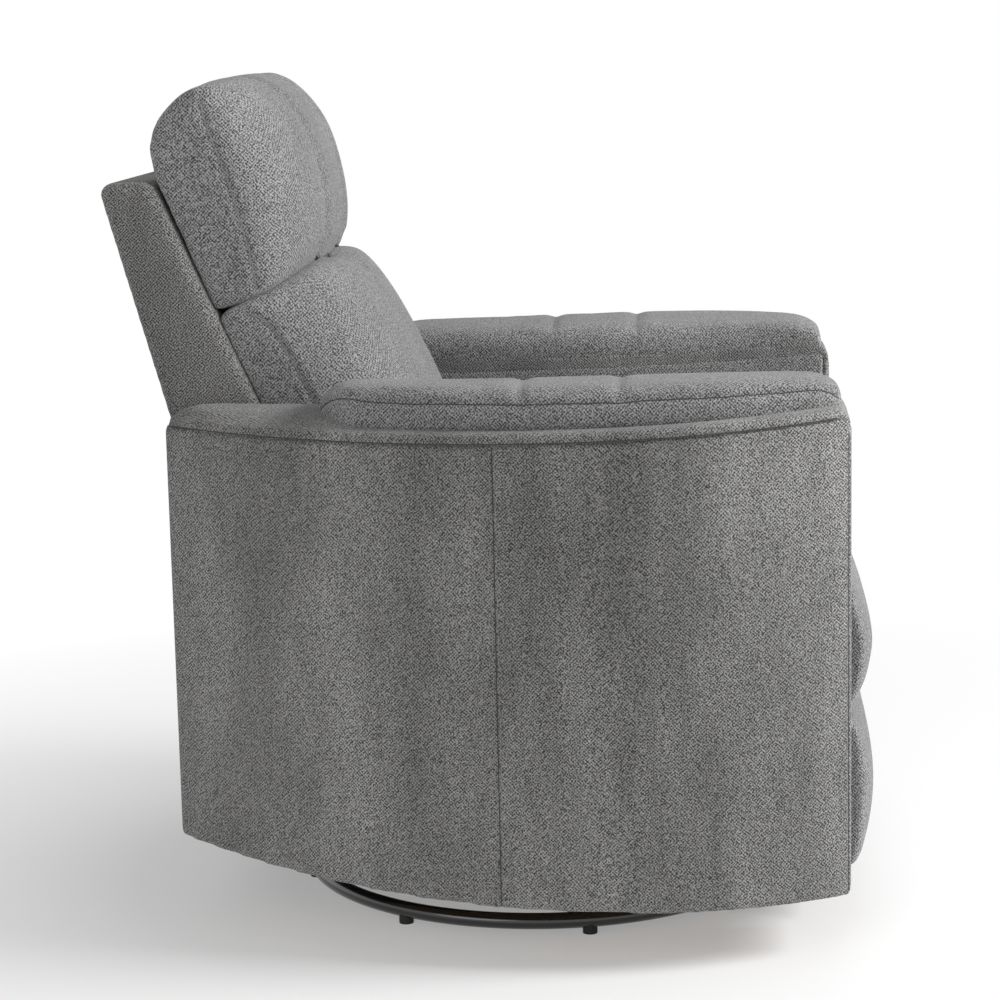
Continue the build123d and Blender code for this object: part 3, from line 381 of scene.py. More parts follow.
def puff(mesh, pressure, cap, hold=None):
    """Fills a closed cover with Cloth pressure; no point moves further than cap."""
    start = points_of(mesh)
    work = bpy.data.objects.new("work", mesh)
    bpy.context.scene.collection.objects.link(work)
    cloth = work.modifiers.new("cloth", "CLOTH").settings
    cloth.quality = 5
    cloth.tension_stiffness = 40
    cloth.compression_stiffness = 40
    cloth.bending_stiffness = 4
    cloth.use_pressure = True
    cloth.uniform_pressure_force = pressure
    cloth.effector_weights.gravity = 0
    scene = bpy.context.scene
    for step in range(1, 21):
        scene.frame_set(step)
    shown = work.evaluated_get(bpy.context.evaluated_depsgraph_get())
    filled = points_of(shown.to_mesh())
    shown.to_mesh_clear()
    work.modifiers.clear()
    bpy.data.objects.remove(work)
    scene.frame_set(1)
    move = filled - start
    reach = np.linalg.norm(move, axis=1, keepdims=True)
    move *= np.minimum(1.0, cap / np.maximum(reach, 1e-9))
    if hold is not None:
        move *= hold(start)[:, None]
    return start + move


def along(points, spacing):
    """Points spread evenly along a smooth curve through the given ones."""
    points = np.array(points, dtype=float)
    before = np.vstack([2 * points[0] - points[1], points, 2 * points[-1] - points[-2]])
    fine = []
    for i in range(1, len(before) - 2):
        a, b, c, d = before[i - 1], before[i], before[i + 1], before[i + 2]
        for t in np.linspace(0, 1, 24, endpoint=False):
            bend, twist = 2 * a - 5 * b + 4 * c - d, 3 * b - a - 3 * c + d
            fine.append(0.5 * (2 * b + (c - a) * t + bend * t**2 + twist * t**3))
    fine.append(points[-1])
    fine = np.array(fine)
    run = np.concatenate([[0], np.cumsum(np.linalg.norm(np.diff(fine, axis=0), axis=1))])
    marks = np.linspace(0, run[-1], max(2, int(run[-1] / spacing)))
    return np.stack([np.interp(marks, run, fine[:, k]) for k in range(3)], axis=1)


def laid_on(piece_mesh, points, lift=0.0):
    """Moves points to the nearest place on a mesh; gives places and normals."""
    corners = [vertex.co for vertex in piece_mesh.vertices]
    tree = BVHTree.FromPolygons(corners, [face.vertices for face in piece_mesh.polygons])
    places = []
    normals = []
    for point in points:
        place, normal, _, _ = tree.find_nearest(Vector(point))
        places.append(place + normal * lift)
        normals.append(normal)
    return np.array(places), np.array(normals)


def sink_along(mesh, line, depth, width):
    """Pulls the cover in along a sewn line, where the thread holds it down."""
    points = points_of(mesh)
    normals = np.empty(len(mesh.vertices) * 3)
    mesh.vertices.foreach_get("normal", normals)
    normals = normals.reshape(-1, 3)
    low = line.min(axis=0) - 3 * width
    high = line.max(axis=0) + 3 * width
    near = np.where(np.all((points > low) & (points < high), axis=1))[0]
    for block in np.array_split(near, max(1, len(near) // 2000)):
        gap = np.linalg.norm(points[block][:, None, :] - line[None, :, :], axis=2).min(axis=1)
        points[block] -= normals[block] * (depth * np.exp(-((gap / width) ** 2)))[:, None]
    set_points(mesh, points)


def tube_mesh(name, line, radius, sides=8):
    """Round cord along a line of places."""
    line = np.asarray(line)
    ahead = np.gradient(line, axis=0)
    ahead /= np.linalg.norm(ahead, axis=1, keepdims=True)
    up = np.tile([0.0, 0.0, 1.0], (len(line), 1))
    up[np.abs(ahead[:, 2]) > 0.9] = (1.0, 0.0, 0.0)
    across = np.cross(ahead, up)
    across /= np.linalg.norm(across, axis=1, keepdims=True)
    out = np.cross(across, ahead)
    turn = np.linspace(0, 2 * math.pi, sides, endpoint=False)
    ring = across[:, None, :] * np.cos(turn)[None, :, None] + out[:, None, :] * np.sin(turn)[None, :, None]
    places = (line[:, None, :] + radius * ring).reshape(-1, 3)
    faces = []
    for i in range(len(line) - 1):
        for k in range(sides):
            m = (k + 1) % sides
            faces.append((i * sides + k, i * sides + m, (i + 1) * sides + m, (i + 1) * sides + k))
    faces.append(tuple(range(sides))[::-1])
    faces.append(tuple(range((len(line) - 1) * sides, len(line) * sides)))
    mesh = bpy.data.meshes.new(name)
    mesh.from_pydata(places.tolist(), [], faces)
    return mesh


def stitch_mesh(name, line, normals, length=0.0042, radius=0.00055, every=0.0065):
    """A row of single thread stitches, each a small lens that dips at both ends."""
    line = np.asarray(line)
    run = np.concatenate([[0], np.cumsum(np.linalg.norm(np.diff(line, axis=0), axis=1))])
    verts = []
    faces = []
    for start in np.arange(0, run[-1] - length, every):
        marks = start + np.array([0.0, 0.2, 0.5, 0.8, 1.0]) * length
        spine = np.stack([np.interp(marks, run, line[:, k]) for k in range(3)], axis=1)
        normal = np.array([np.interp(start, run, normals[:, k]) for k in range(3)])
        normal /= np.linalg.norm(normal)
        ahead = spine[-1] - spine[0]
        ahead /= np.linalg.norm(ahead)
        side = np.cross(normal, ahead)
        first = len(verts)
        for place, size in zip(spine, (0.25, 0.9, 1.0, 0.9, 0.25)):
            for k in range(6):
                turn = k * math.pi / 3
                verts.append(place + radius * size * (math.cos(turn) * side + math.sin(turn) * normal))
        for i in range(4):
            for k in range(6):
                m = (k + 1) % 6
                faces.append(tuple(first + j for j in (i * 6 + k, i * 6 + m, i * 6 + 6 + m, i * 6 + 6 + k)))
    mesh = bpy.data.meshes.new(name)
    mesh.from_pydata([tuple(v) for v in verts], [], faces)
    return mesh


def sewing_thread(name, colour):
    material, tree, shader = new_material(name)
    place = tree.nodes.new("ShaderNodeTexCoord").outputs["Object"]
    ply = noise_node(tree, place, 1800.0, 2.0)
    darker = tuple(c * 0.55 for c in colour)
    tree.links.new(mix_colour(tree, ply, darker, colour), shader.inputs["Base Color"])
    tree.links.new(ramp_node(tree, ply, 0.55, 0.85), shader.inputs["Roughness"])
    tree.links.new(bump_node(tree, ply, 0.4, 0.0002), shader.inputs["Normal"])
    return material


grey_thread = sewing_thread("grey_thread", (0.34, 0.34, 0.335))
# The near-black cord is painted shade: it is laid along seams to darken their creases and is not the
# cover's own thread colour.
seam_crease_shade = sewing_thread("seam_crease_shade", (0.05, 0.05, 0.05))


# --------------------------------------------------------------- barrel panels
# Each arm's outer wall is a padded panel on a curved board, sewn from a front
# and a rear length. The join is pressed open and held by two rows of stitches.
sides = (("left", 1.0), ("right", -1.0))
join_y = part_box("left_wing_front")[1][1]
front_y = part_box("left_wing_front")[0][1]
panel_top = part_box("left_wing_front")[1][2]
seam_height, seam_rear = 0.6245, 0.627
thread_lift = 0.0003
corner_radius = 0.016
wing_points = points_of(joined_mesh("left_wing_front", "left_wing_rear"))
widest, widest_y, rear_y = wing_points[:, 0].max(), -0.156, wing_points[:, 1].max()
front_half = wing_points[wing_points[:, 1] < front_y + 1e-4][:, 0].max()
rear_half = wing_points[wing_points[:, 1] > rear_y - 1e-4][:, 0].max()


def barrel_half(y):
    """Half width of the barrel at y: two arcs that meet at the widest place."""
    end_y, end_half = (front_y, front_half) if y < widest_y else (rear_y, rear_half)
    run, drop = abs(end_y - widest_y), widest - end_half
    radius = (run**2 + drop**2) / (2 * drop)
    return widest - radius + math.sqrt(radius**2 - (y - widest_y) ** 2)


def rim_height(y):
    """Height of the sewn rim between panel and cap."""
    marks, heights = (front_y, 0.0, rear_y), (panel_top, seam_height, seam_rear)
    return float(np.polyval(np.polyfit(marks, heights, 2), y))


def rolled(distance, radius):
    """Share of the full height at a distance from an end that rolls down over radius."""
    return math.sqrt(max(0.0, 1 - (1 - min(max(distance / radius, 0.0), 1.0)) ** 2))


def front_corner(y):
    """Height at y of the panel's top, whose front corner is round."""
    return rim_height(y) - corner_radius * (1 - rolled(y - front_y, corner_radius))


def sewn_join(name, mesh, line, body, depth, width, stitch_gap, across):
    """A pressed seam: a thin groove with a row of stitches on each side of it, and a near-black cord of
    painted shade laid along the groove.
    """
    sink_along(mesh, line, depth, width)
    for number, offset in enumerate((-stitch_gap, stitch_gap)):
        places, normals = laid_on(mesh, line + offset * np.array(across), thread_lift)
        row = stitch_mesh(f"{name}_stitches_{number + 1}", places, normals)
        new_piece(f"{name}_stitches_{number + 1}", row, grey_thread, body, "upholstery")
    # Near-black cord along the groove: painted shade in the seam's crease.
    places, _ = laid_on(mesh, line)
    thread = tube_mesh(f"{name}_line", places, 0.0006, sides=6)
    new_piece(f"{name}_line", thread, seam_crease_shade, body, "upholstery")


for side, sign in sides:
    nodes = (f"{side}_wing_front", f"{side}_wing_rear")
    mesh = eased(joined_mesh(*nodes), 0.0045, 5, 0.0005)
    points = points_of(mesh)
    for i, (_, y, z) in enumerate(points):
        points[i, 2] = min(z, front_corner(y))
    set_points(mesh, points)
    mesh = applied(mesh, ("SUBSURF", {"levels": 1}))
    stations = np.linspace(front_y + 0.014, rear_y, 90)
    rim = np.array([(sign * barrel_half(y), y, rim_height(y)) for y in stations])
    sink_along(mesh, along(rim, 0.002), 0.0016, 0.0035)
    panel_box = [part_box(node) for node in nodes]
    reach = sign * max(abs(corner[0]) for corner in panel_box[0])
    heights = np.linspace(panel_box[1][0][2] - 0.03, seam_height - 0.004, 12)
    guess = np.array([(reach, join_y, z) for z in heights])
    line, _ = laid_on(mesh, along(guess, 0.002))
    sewn_join(f"{side}_panel_join", mesh, line, "chair", 0.0014, 0.0026, 0.0034, (0, 1, 0))
    heights = np.linspace(panel_box[0][0][2] + 0.004, panel_top - 0.02, 12)
    guess = np.array([(sign * (front_half + 0.003), front_y + 0.0015, z) for z in heights])
    line, _ = laid_on(mesh, along(guess, 0.002))
    sewn_join(f"{side}_facing_join", mesh, line, "chair", 0.0008, 0.002, 0.0028, (sign * 0.35, 1, 0))
    new_piece(f"{side}_panel", mesh, panel_cloth, "chair", "upholstery", *nodes)

# ------------------------------------------------------------------- arm caps
# A thin foam cap covers the top edge of each arm. It is sewn to the panel
# along the rim and crowns up towards the back.


def lofted(loops):
    """Closed mesh through loops of places, each with the same number of them."""
    count = len(loops[0])
    verts = [tuple(place) for loop in loops for place in loop]
    faces = []
    for i in range(len(loops) - 1):
        for k in range(count):
            m = (k + 1) % count
            faces.append((i * count + k, i * count + m, (i + 1) * count + m, (i + 1) * count + k))
    faces.append(tuple(range(count))[::-1])
    faces.append(tuple(range((len(loops) - 1) * count, len(loops) * count)))
    mesh = bpy.data.meshes.new("lofted")
    mesh.from_pydata(verts, [], faces)
    return mesh


inner_x = 0.2505
bolster = 0.0115
cap_start, cap_end = front_y + 0.001, rear_y - 0.004
front_roll, rear_roll = 0.032, 0.058
least_roll = 0.3
flat_crown, crown_gain, crown_run = 0.003, 0.011, 0.236
cap_tuck, cap_sink, cap_proud = 0.0016, 0.006, 0.001


def cap_section(y):
    """Foam cap at y: tucked in at the rim, a round outer edge and a crowned top."""
    ends = max(least_roll, rolled(y - cap_start, front_roll) * rolled(cap_end - y, rear_roll))
    rim = front_corner(y)
    outer = barrel_half(y) - 0.003 * (1 - ends)
    crown = flat_crown + crown_gain * min(max((y - join_y) / crown_run, 0.0), 1.0)
    section = [(inner_x, y, rim - cap_sink), (outer - 0.010, y, rim - cap_sink)]
    section.append((outer - cap_tuck, y, rim - 0.001))
    ledge = outer + cap_proud - bolster
    for turn in np.linspace(0.15, math.pi / 2, 7):
        section.append((ledge + bolster * math.cos(turn), y, rim + bolster * math.sin(turn) * ends))
    for share in np.linspace(0.12, 1, 9):
        rise = bolster + crown * (1 - (1 - share) ** 3)
        section.append((ledge - (ledge - inner_x) * share, y, rim + rise * ends))
    return section


for side, sign in sides:
    stations = np.concatenate([
        np.linspace(cap_start, cap_start + 0.018, 7),
        np.linspace(cap_start + 0.025, cap_end - 0.045, 40),
        np.linspace(cap_end - 0.038, cap_end, 10),
    ])
    loops = [[(sign * x, y, z) for x, y, z in cap_section(y)] for y in stations]
    cap_mesh = applied(eased(lofted(loops), 0.003, 2, 0.0004), ("SUBSURF", {"levels": 1}))
    new_piece(f"{side}_cap", cap_mesh, panel_cloth, "chair", "upholstery", f"{side}_arm_cap")
    # A near-black cord along the rim is painted shade where the cap rolls over the seam.
    rim = [(sign * (barrel_half(y) - 0.0004), y, rim_height(y) - 0.0004) for y in stations[5:]]
    seam = tube_mesh(f"{side}_rim_seam", along(np.array(rim), 0.003), 0.0008, sides=6)
    new_piece(f"{side}_rim_seam", seam, seam_crease_shade, "chair", "upholstery")

# ------------------------------------------------------------------- arm pads
# The armrest is a fibre-filled pillow with a boxed outer side. Two sewn
# channels cross its top and divide it into three plump cells.
channel_places = (-0.156, -0.041)
pad_low, pad_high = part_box("left_arm_pad")
pad_start, pad_stop = pad_low[1] - 0.010, pad_high[1]
pad_front_roll, pad_rear_roll = 0.045, 0.050
pad_inset = 0.020
rear_draw, rear_draw_run = 0.055, 0.075
front_draw, front_draw_run = 0.012, 0.040
pad_crest, cell_swell = 0.6835, 0.002
pad_seam = (0.985, 0.76)
pad_shape = (
    (0.0, 0.0), (0.5, -0.02), (0.985, 0.0), (1.0, 0.25), (0.995, 0.6), pad_seam, (0.955, 0.9),
    (0.87, 0.99), (0.7, 1.0), (0.45, 0.985), (0.2, 0.93), (0.06, 0.82), (0.0, 0.62), (0.0, 0.3),
)
seam_place = pad_shape.index(pad_seam)


def pad_section(y):
    """Flat-topped pillow with a boxed outer side; both ends roll down to the cap."""
    ends = rolled(y - pad_start, pad_front_roll) * rolled(pad_stop - y, pad_rear_roll)
    draw_in = pad_inset + rear_draw * (1 - min(1.0, (pad_stop - y) / rear_draw_run)) ** 2
    draw_in += front_draw * (1 - min(1.0, (y - pad_start) / front_draw_run)) ** 2
    bed = rim_height(y) + 0.006
    rise = (pad_crest + cell_swell * math.cos((y + 0.28) * 9) - bed) * ends
    width = barrel_half(y) - draw_in - inner_x
    return [(inner_x + width * u, y, bed + rise * v) for u, v in pad_shape]


for side, sign in sides:
    node = f"{side}_arm_pad"
    stations = np.linspace(pad_start, pad_stop, 64)[1:-1]
    loops = [[(sign * x, y, z) for x, y, z in pad_section(y)] for y in stations]
    mesh = eased(lofted(loops), 0.005, 6, 0.0004)
    bed_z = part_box(node)[0][2] + 0.02
    filled = puff(mesh, 3.0, 0.003, lambda p: np.clip((p[:, 2] - bed_z) / 0.02, 0, 1))
    filled[:, 0] = np.where(sign * filled[:, 0] < inner_x, sign * inner_x, filled[:, 0])
    set_points(mesh, filled)
    mesh = applied(mesh, ("SUBSURF", {"levels": 1}))
    for place in channel_places:
        guess = np.array([(sign * x, place, 0.70) for x in np.linspace(inner_x + 0.004, 0.425, 12)])
        line, _ = laid_on(mesh, guess)
        sink_along(mesh, along(line, 0.002), 0.003, 0.009)
        sink_along(mesh, along(line, 0.002), 0.0008, 0.003)
    guess = []
    for y in np.linspace(pad_start + 0.004, pad_stop - 0.004, 60):
        x, _, z = pad_section(y)[seam_place]
        guess.append((sign * (x + 0.01), y, z + 0.002))
    line, _ = laid_on(mesh, along(np.array(guess), 0.003))
    sink_along(mesh, line, 0.0022, 0.004)
    # A near-black cord along the boxing seam is painted shade in its crease.
    places, _ = laid_on(mesh, line)
    seam = tube_mesh(f"{side}_pad_boxing_seam", places, 0.0007)
    new_piece(f"{side}_pad_boxing_seam", seam, seam_crease_shade, "chair", "cushion_cover")
    piece = new_piece(f"{side}_pad", mesh, cushion_cloth, "chair", "cushion_cover", node)

# ----------------------------------------------------------------- arm liners
# Padded inner faces of the arms, pulled flat over foam and stapled under the
# caps. The right one is cut out for the switch panel.
for side, sign in sides:
    mesh = eased(joined_mesh(f"{side}_arm_liner"), 0.004, 3, 0.0004)
    new_piece(f"{side}_liner", mesh, cushion_cloth, "chair", "upholstery", f"{side}_arm_liner")

# -------------------------------------------------------------- seat and springs
# Zigzag spring wires are clipped over the seat tubes. A foam cushion with a
# crowned fibre wrap lies on them between the arms.
spring_wire = coated_metal(
    "spring_wire", (0.3, 0.3, 0.3), (0.42, 0.42, 0.41), 0.38, metallic=1.0, peel=300.0
)
dress(spring_wire, "seat_springs", "back_springs")
dress(satin_black, "mechanism_frame")


def cushion(mesh, voxel, pressure, cap, hold):
    mesh = eased(mesh, voxel, 8)
    set_points(mesh, puff(mesh, pressure, cap, hold))
    return applied(mesh, ("SMOOTH", {"factor": 0.5, "iterations": 3}), ("SUBSURF", {"levels": 1}))


seat_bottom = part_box("seat_cushion")[0][2]


def seat_gives(points):
    """The seat fills upwards and keeps its flat sides between the arms."""
    above = np.clip((points[:, 2] - seat_bottom - 0.03) / 0.05, 0, 1)
    return above * np.clip((0.243 - abs(points[:, 0])) / 0.02, 0, 1)


seat_mesh = cushion(joined_mesh("seat_cushion"), 0.007, 4.0, 0.010, seat_gives)
seat_piece = new_piece("seat_pillow", seat_mesh, cushion_cloth, "chair", "cushion_cover", "seat_cushion")

# ---------------------------------------------------- rear apron and under cloth
# A low padded panel closes the rear between the arms. Thin black dust cloth
# is stapled under the rails and left open round the glide hangers.
apron_mesh = eased(joined_mesh("rear_apron"), 0.003, 3, 0.0003)
new_piece("apron_panel", apron_mesh, panel_cloth, "chair", "upholstery", "rear_apron")
dust_cloth = moulded("black_dust_cloth", (0.015, 0.015, 0.015), 1500.0, 0.95)
dress(dust_cloth, "dust_cover")

# ------------------------------------------------------------------- footrest
# Two stuffed pads on one board fold flat against the front. The upper one
# leans back under the seat. Steel links push the board out and turn it level.
dress(satin_black, "footrest_drive_links", "footrest_outer_links", "footrest_brackets")
dress(zinc, "footrest_link_pins", "footrest_rod", "back_rod", "head_rod")
board_face_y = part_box("footrest_board")[0][1]
crease_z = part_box("footrest_pad_lower")[1][2]
plumpness, crease_depth, crease_width = 0.83, 0.4, 0.02
lean_start, lean_run, lean_back = 0.33, 0.10, 0.4
for part in ("upper", "lower"):
    node = f"footrest_pad_{part}"
    mesh = cushion(
        joined_mesh(node), 0.005, 4.0, 0.006,
        lambda p: np.clip((board_face_y - 0.004 - p[:, 1]) / 0.015, 0, 1) * 0.3,
    )
    points = points_of(mesh)
    for i, (_, y, z) in enumerate(points):
        lean = min(max((z - lean_start) / lean_run, 0.0), 1.0)
        crease = crease_depth * math.exp(-(((z - crease_z) / crease_width) ** 2))
        keep = plumpness * (1 - crease) - lean_back * lean**2 * (3 - 2 * lean)
        points[i, 1] = board_face_y + (y - board_face_y) * (keep if y < board_face_y else 1.0)
    set_points(mesh, points)
    name = f"footrest_cover_{part}"
    piece = new_piece(name, mesh, cushion_cloth, "footrest", "cushion_cover", node)

# ------------------------------------------------------------- back frame cover
# The back is a timber wedge wrapped in thin foam and cloth. It leans on a
# steel hinge at the seat and carries both back cushions.
dress(satin_black, "back_hinge_frame", "head_mounts", "head_frame")
wrapped = bmesh.new()
wrapped.from_mesh(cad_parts["back_shell"].data)
hull = bmesh.ops.convex_hull(wrapped, input=wrapped.verts, use_existing_faces=False)
inside = hull["geom_interior"] + hull["geom_unused"]
inside = list({corner for corner in inside if isinstance(corner, bmesh.types.BMVert)})
bmesh.ops.delete(wrapped, geom=inside, context="VERTS")
hull_parts = set(hull["geom"])
old_faces = [face for face in wrapped.faces if face not in hull_parts]
bmesh.ops.delete(wrapped, geom=old_faces, context="FACES")
shell_mesh = bpy.data.meshes.new("back_wrap")
wrapped.to_mesh(shell_mesh)
wrapped.free()
shell_mesh = eased(shell_mesh, 0.005, 6, 0.0004)
outward = np.empty(len(shell_mesh.vertices) * 3)
shell_mesh.vertices.foreach_get("normal", outward)
foam_cover = 0.0014
set_points(shell_mesh, points_of(shell_mesh) + foam_cover * outward.reshape(-1, 3))
shell_mesh = applied(shell_mesh, ("SUBSURF", {"levels": 1}))
new_piece("back_cover", shell_mesh, panel_cloth, "back", "upholstery", "back_shell")

# --------------------------------------------------------------- back cushion
# The lumbar pillow is boxed at its sides: a front panel rolls from the seat
# up over the top, and a side panel is sewn to it along a curved seam.
def plump(t):
    """Share of the crown at t, from 0 at the middle of a pillow to 1 at its side."""
    return (1 - t**3.2) ** 0.55


def pillow_form(side_curves, centre_curves, half, steps=49, fine=24):
    """Closed pillow whose outline grows from the side panel to the middle."""
    def loop(curves):
        pieces = []
        for curve in curves:
            places = along([(0, y, z) for y, z in curve], 0.001)[:, 1:]
            marks = np.linspace(0, len(places) - 1, fine)
            index = np.arange(len(places))
            spaced = [np.interp(marks, index, places[:, k]) for k in (0, 1)]
            pieces.append(np.stack(spaced, axis=1)[:-1])
        return np.vstack(pieces)

    side_loop = loop(side_curves)
    centre_loop = loop(centre_curves)
    loops = []
    for turn in np.linspace(-math.pi / 2, math.pi / 2, steps):
        share = plump(abs(math.sin(turn)))
        outline = side_loop + (centre_loop - side_loop) * share
        loops.append([(half * math.sin(turn), y, z) for y, z in outline])
    return lofted(loops)


def boxed_seam(name, mesh, outline, side_x, body):
    """The sewn edge between a pillow's face and its side panel."""
    guess = along(np.array([(side_x, y, z) for y, z in outline]), 0.003)
    line, _ = laid_on(mesh, guess)
    sink_along(mesh, line, 0.0026, 0.004)
    places, _ = laid_on(mesh, line)
    thread = tube_mesh(f"{name}_line", places, 0.0007)
    new_piece(f"{name}_line", thread, grey_thread, body, "cushion_cover")


pillow_half, soft_half = 0.239, 0.236


def back_gives(points):
    """The back pillow fills forwards of its leaning frame."""
    ahead = 0.16 + 0.45 * (points[:, 2] - 0.43) - points[:, 1]
    return np.clip((soft_half - abs(points[:, 0])) / 0.03, 0, 1) * np.clip(ahead / 0.05, 0, 1)


def head_gives(points):
    """The headrest fills above its lower edge."""
    return np.clip((soft_half - abs(points[:, 0])) / 0.03, 0, 1) * (points[:, 2] > 0.83)


back_mesh = cushion(
    pillow_form(
        (
            ((0.186, 0.43), (0.17, 0.45), (0.158, 0.478)),
            (
                (0.158, 0.478), (0.168, 0.54), (0.186, 0.585), (0.221, 0.657), (0.252, 0.717),
                (0.274, 0.748), (0.3, 0.76),
            ),
            ((0.3, 0.76), (0.318, 0.762), (0.333, 0.752)),
            ((0.333, 0.752), (0.186, 0.43)),
        ),
        (
            ((0.186, 0.43), (0.13, 0.482), (0.092, 0.498)),
            (
                (0.092, 0.498), (0.076, 0.53), (0.079, 0.58), (0.100, 0.637), (0.124, 0.688),
                (0.152, 0.741), (0.178, 0.782),
            ),
            ((0.178, 0.782), (0.206, 0.809), (0.243, 0.806), (0.29, 0.78), (0.333, 0.757)),
            ((0.333, 0.756), (0.186, 0.43)),
        ),
        pillow_half,
    ),
    0.007, 4.0, 0.006, back_gives,
)
for side, sign in sides:
    outline = (
        (0.301, 0.7605), (0.274, 0.748), (0.252, 0.717), (0.221, 0.657), (0.19, 0.59), (0.17, 0.55),
    )
    boxed_seam(f"{side}_back_boxing", back_mesh, outline, sign * 0.2405, "back")
back_piece = new_piece("back_pillow", back_mesh, cushion_cloth, "back", "cushion_cover", "back_cushion")

# ------------------------------------------------------------------- headrest
# The headrest pillow wraps over the top of the back. Its front is sewn into
# three upright channels, and boxed side panels carry a curved seam.
head_mesh = cushion(
    pillow_form(
        (
            ((0.335, 0.76), (0.308, 0.768), (0.282, 0.780)),
            (
                (0.282, 0.780), (0.283, 0.8), (0.3, 0.871), (0.313, 0.917), (0.334, 0.977),
                (0.342, 1.009), (0.338, 1.029),
            ),
            (
                (0.338, 1.029), (0.367, 1.021), (0.389, 1.001), (0.403, 0.982), (0.408, 0.958),
                (0.403, 0.92),
            ),
            ((0.403, 0.92), (0.335, 0.76)),
        ),
        (
            ((0.335, 0.758), (0.284, 0.774), (0.238, 0.797), (0.221, 0.824)),
            (
                (0.221, 0.824), (0.216, 0.87), (0.222, 0.922), (0.238, 0.975), (0.265, 1.013),
                (0.293, 1.034), (0.315, 1.039),
            ),
            ((0.315, 1.040), (0.35, 1.031), (0.38, 1.012), (0.4, 0.985), (0.41, 0.955), (0.403, 0.92)),
            ((0.403, 0.92), (0.335, 0.76)),
        ),
        pillow_half,
    ),
    0.006, 4.0, 0.004, head_gives,
)
channel_line = (
    (0.235, 0.812), (0.213, 0.839), (0.205, 0.87), (0.21, 0.922), (0.228, 0.975),
    (0.258, 1.015), (0.29, 1.037), (0.32, 1.041),
)
for x in (-0.08, 0.08):
    guess = along(np.array([(x, y, z) for y, z in channel_line]), 0.003)
    line, _ = laid_on(head_mesh, guess)
    sink_along(head_mesh, line, 0.006, 0.016)
    sink_along(head_mesh, line, 0.0015, 0.004)
for side, sign in sides:
    outline = (
        (0.338, 1.029), (0.342, 1.009), (0.334, 0.977), (0.313, 0.917), (0.3, 0.871),
        (0.288, 0.822), (0.282, 0.785),
    )
    boxed_seam(f"{side}_head_boxing", head_mesh, outline, sign * 0.2405, "head")
head_piece = new_piece("head_pillow", head_mesh, cushion_cloth, "head", "cushion_cover", "head_cushion")

# ------------------------------------------------------------------ actuators
# Three screw actuators in black plastic casings push the footrest, the back
# and the headrest.
actuator_case = moulded("actuator_case", (0.02, 0.02, 0.021), 900.0, 0.5)
dress(actuator_case, "footrest_actuator", "back_actuator", "head_actuator")

# ------------------------------------------------------- switches and power inlet
# A small panel inside the right arm holds three rocker switches. A round
# low-voltage inlet sits low at the rear.
switch_plastic = moulded("switch_plastic", (0.03, 0.03, 0.031), 1200.0, 0.38)
dress(switch_plastic, "switch_footrest", "switch_back", "switch_head")
dress(actuator_case, "control_bezel", "power_inlet")

# --------------------------------------------------------------- studio and view
# A pale floor, a white surround and three soft lamps. The camera stands where
# the photograph was taken.
floor_mesh = bpy.data.meshes.new("studio_floor")
floor_mesh.from_pydata([(-9, -9, 0), (9, -9, 0), (9, 9, 0), (-9, 9, 0)], [], [(0, 1, 2, 3)])
floor = bpy.data.objects.new("studio_floor", floor_mesh)
bpy.context.scene.collection.objects.link(floor)
floor_paint, floor_tree, floor_shader = new_material("pale_floor")
floor_shader.inputs["Roughness"].default_value = 0.9
floor_shader.inputs["Base Color"].default_value = (0.9, 0.9, 0.9, 1)
floor_place = floor_tree.nodes.new("ShaderNodeTexCoord").outputs["Object"]
floor_reach = floor_tree.nodes.new("ShaderNodeVectorMath")
floor_reach.operation = "LENGTH"
floor_tree.links.new(floor_place, floor_reach.inputs[0])
fade = ramp_node(floor_tree, floor_reach.outputs["Value"], 0.3, 1.0, 0.5, 1.6)
floor_seen = floor_tree.nodes.new("ShaderNodeLightPath")
floor_glow = floor_tree.nodes.new("ShaderNodeEmission")
floor_mix = floor_tree.nodes.new("ShaderNodeMixShader")
floor_rays = math_node(
    floor_tree, "MAXIMUM", floor_seen.outputs["Is Camera Ray"], floor_seen.outputs["Is Glossy Ray"]
)
floor_tree.links.new(math_node(floor_tree, "MULTIPLY", floor_rays, fade), floor_mix.inputs[0])
floor_tree.links.new(floor_shader.outputs[0], floor_mix.inputs[1])
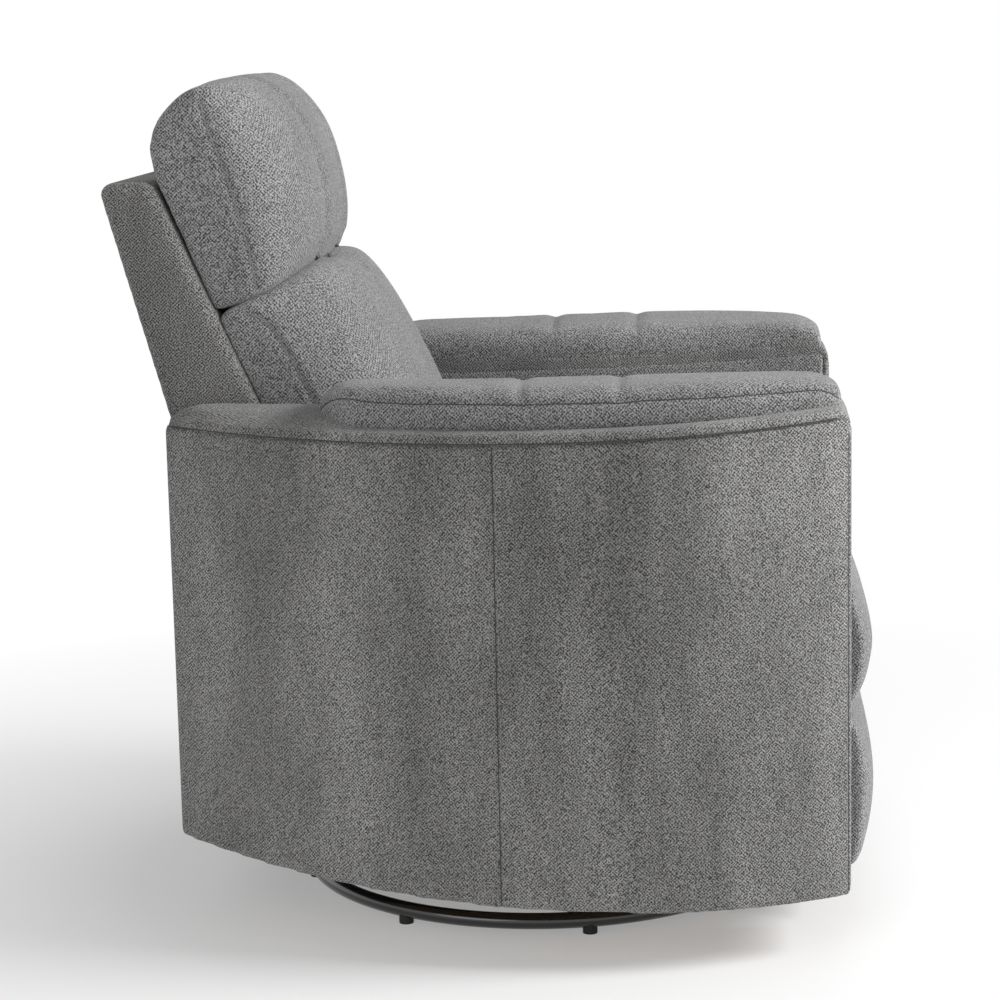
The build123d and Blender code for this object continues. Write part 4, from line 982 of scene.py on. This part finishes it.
floor_tree.links.new(floor_glow.outputs[0], floor_mix.inputs[2])
floor_end = next(node for node in floor_tree.nodes if node.type == "OUTPUT_MATERIAL")
floor_tree.links.new(floor_mix.outputs[0], floor_end.inputs[0])
floor_mesh.materials.append(floor_paint)

world = bpy.data.worlds.new("white_room")
bpy.context.scene.world = world
world.use_nodes = True
world_tree = world.node_tree
world_tree.nodes.clear()
seen = world_tree.nodes.new("ShaderNodeLightPath")
paths = math_node(world_tree, "MAXIMUM", seen.outputs["Is Camera Ray"], seen.outputs["Is Glossy Ray"])
paths = math_node(world_tree, "MAXIMUM", paths, seen.outputs["Is Transmission Ray"])
strength = math_node(world_tree, "MULTIPLY_ADD", paths, 0.7, 0.3)
background = world_tree.nodes.new("ShaderNodeBackground")
background.inputs["Color"].default_value = (1, 1, 1, 1)
world_tree.links.new(strength, background.inputs["Strength"])
world_output = world_tree.nodes.new("ShaderNodeOutputWorld")
world_tree.links.new(background.outputs[0], world_output.inputs[0])


def soft_lamp(name, place, size, watts):
    lamp = bpy.data.lights.new(name, "AREA")
    lamp.shape = "DISK"
    lamp.size = size
    lamp.energy = watts
    holder = bpy.data.objects.new(name, lamp)
    holder.location = place
    aim = Vector((0, 0, 0.5)) - Vector(place)
    holder.rotation_euler = aim.to_track_quat("-Z", "Y").to_euler()
    bpy.context.scene.collection.objects.link(holder)


soft_lamp("front_key", (-0.35, -3.4, 2.3), 1.6, 165.0)
soft_lamp("side_fill", (-2.8, 1.5, 1.6), 2.4, 27.0)
soft_lamp("top_rim", (0.6, -0.4, 3.4), 1.8, 14.0)

camera_data = bpy.data.cameras.new("photo_camera")
camera = bpy.data.objects.new("photo_camera", camera_data)
bpy.context.scene.collection.objects.link(camera)
camera_data.sensor_width = 36.0
camera_data.lens = 97.72
camera.location = (-3.46463, -0.26578, 1.09497)
camera.rotation_euler = tuple(math.radians(angle) for angle in (80.0441, 1.2093, -85.6024))
bpy.context.scene.camera = camera
bpy.context.scene.view_settings.view_transform = "Standard"
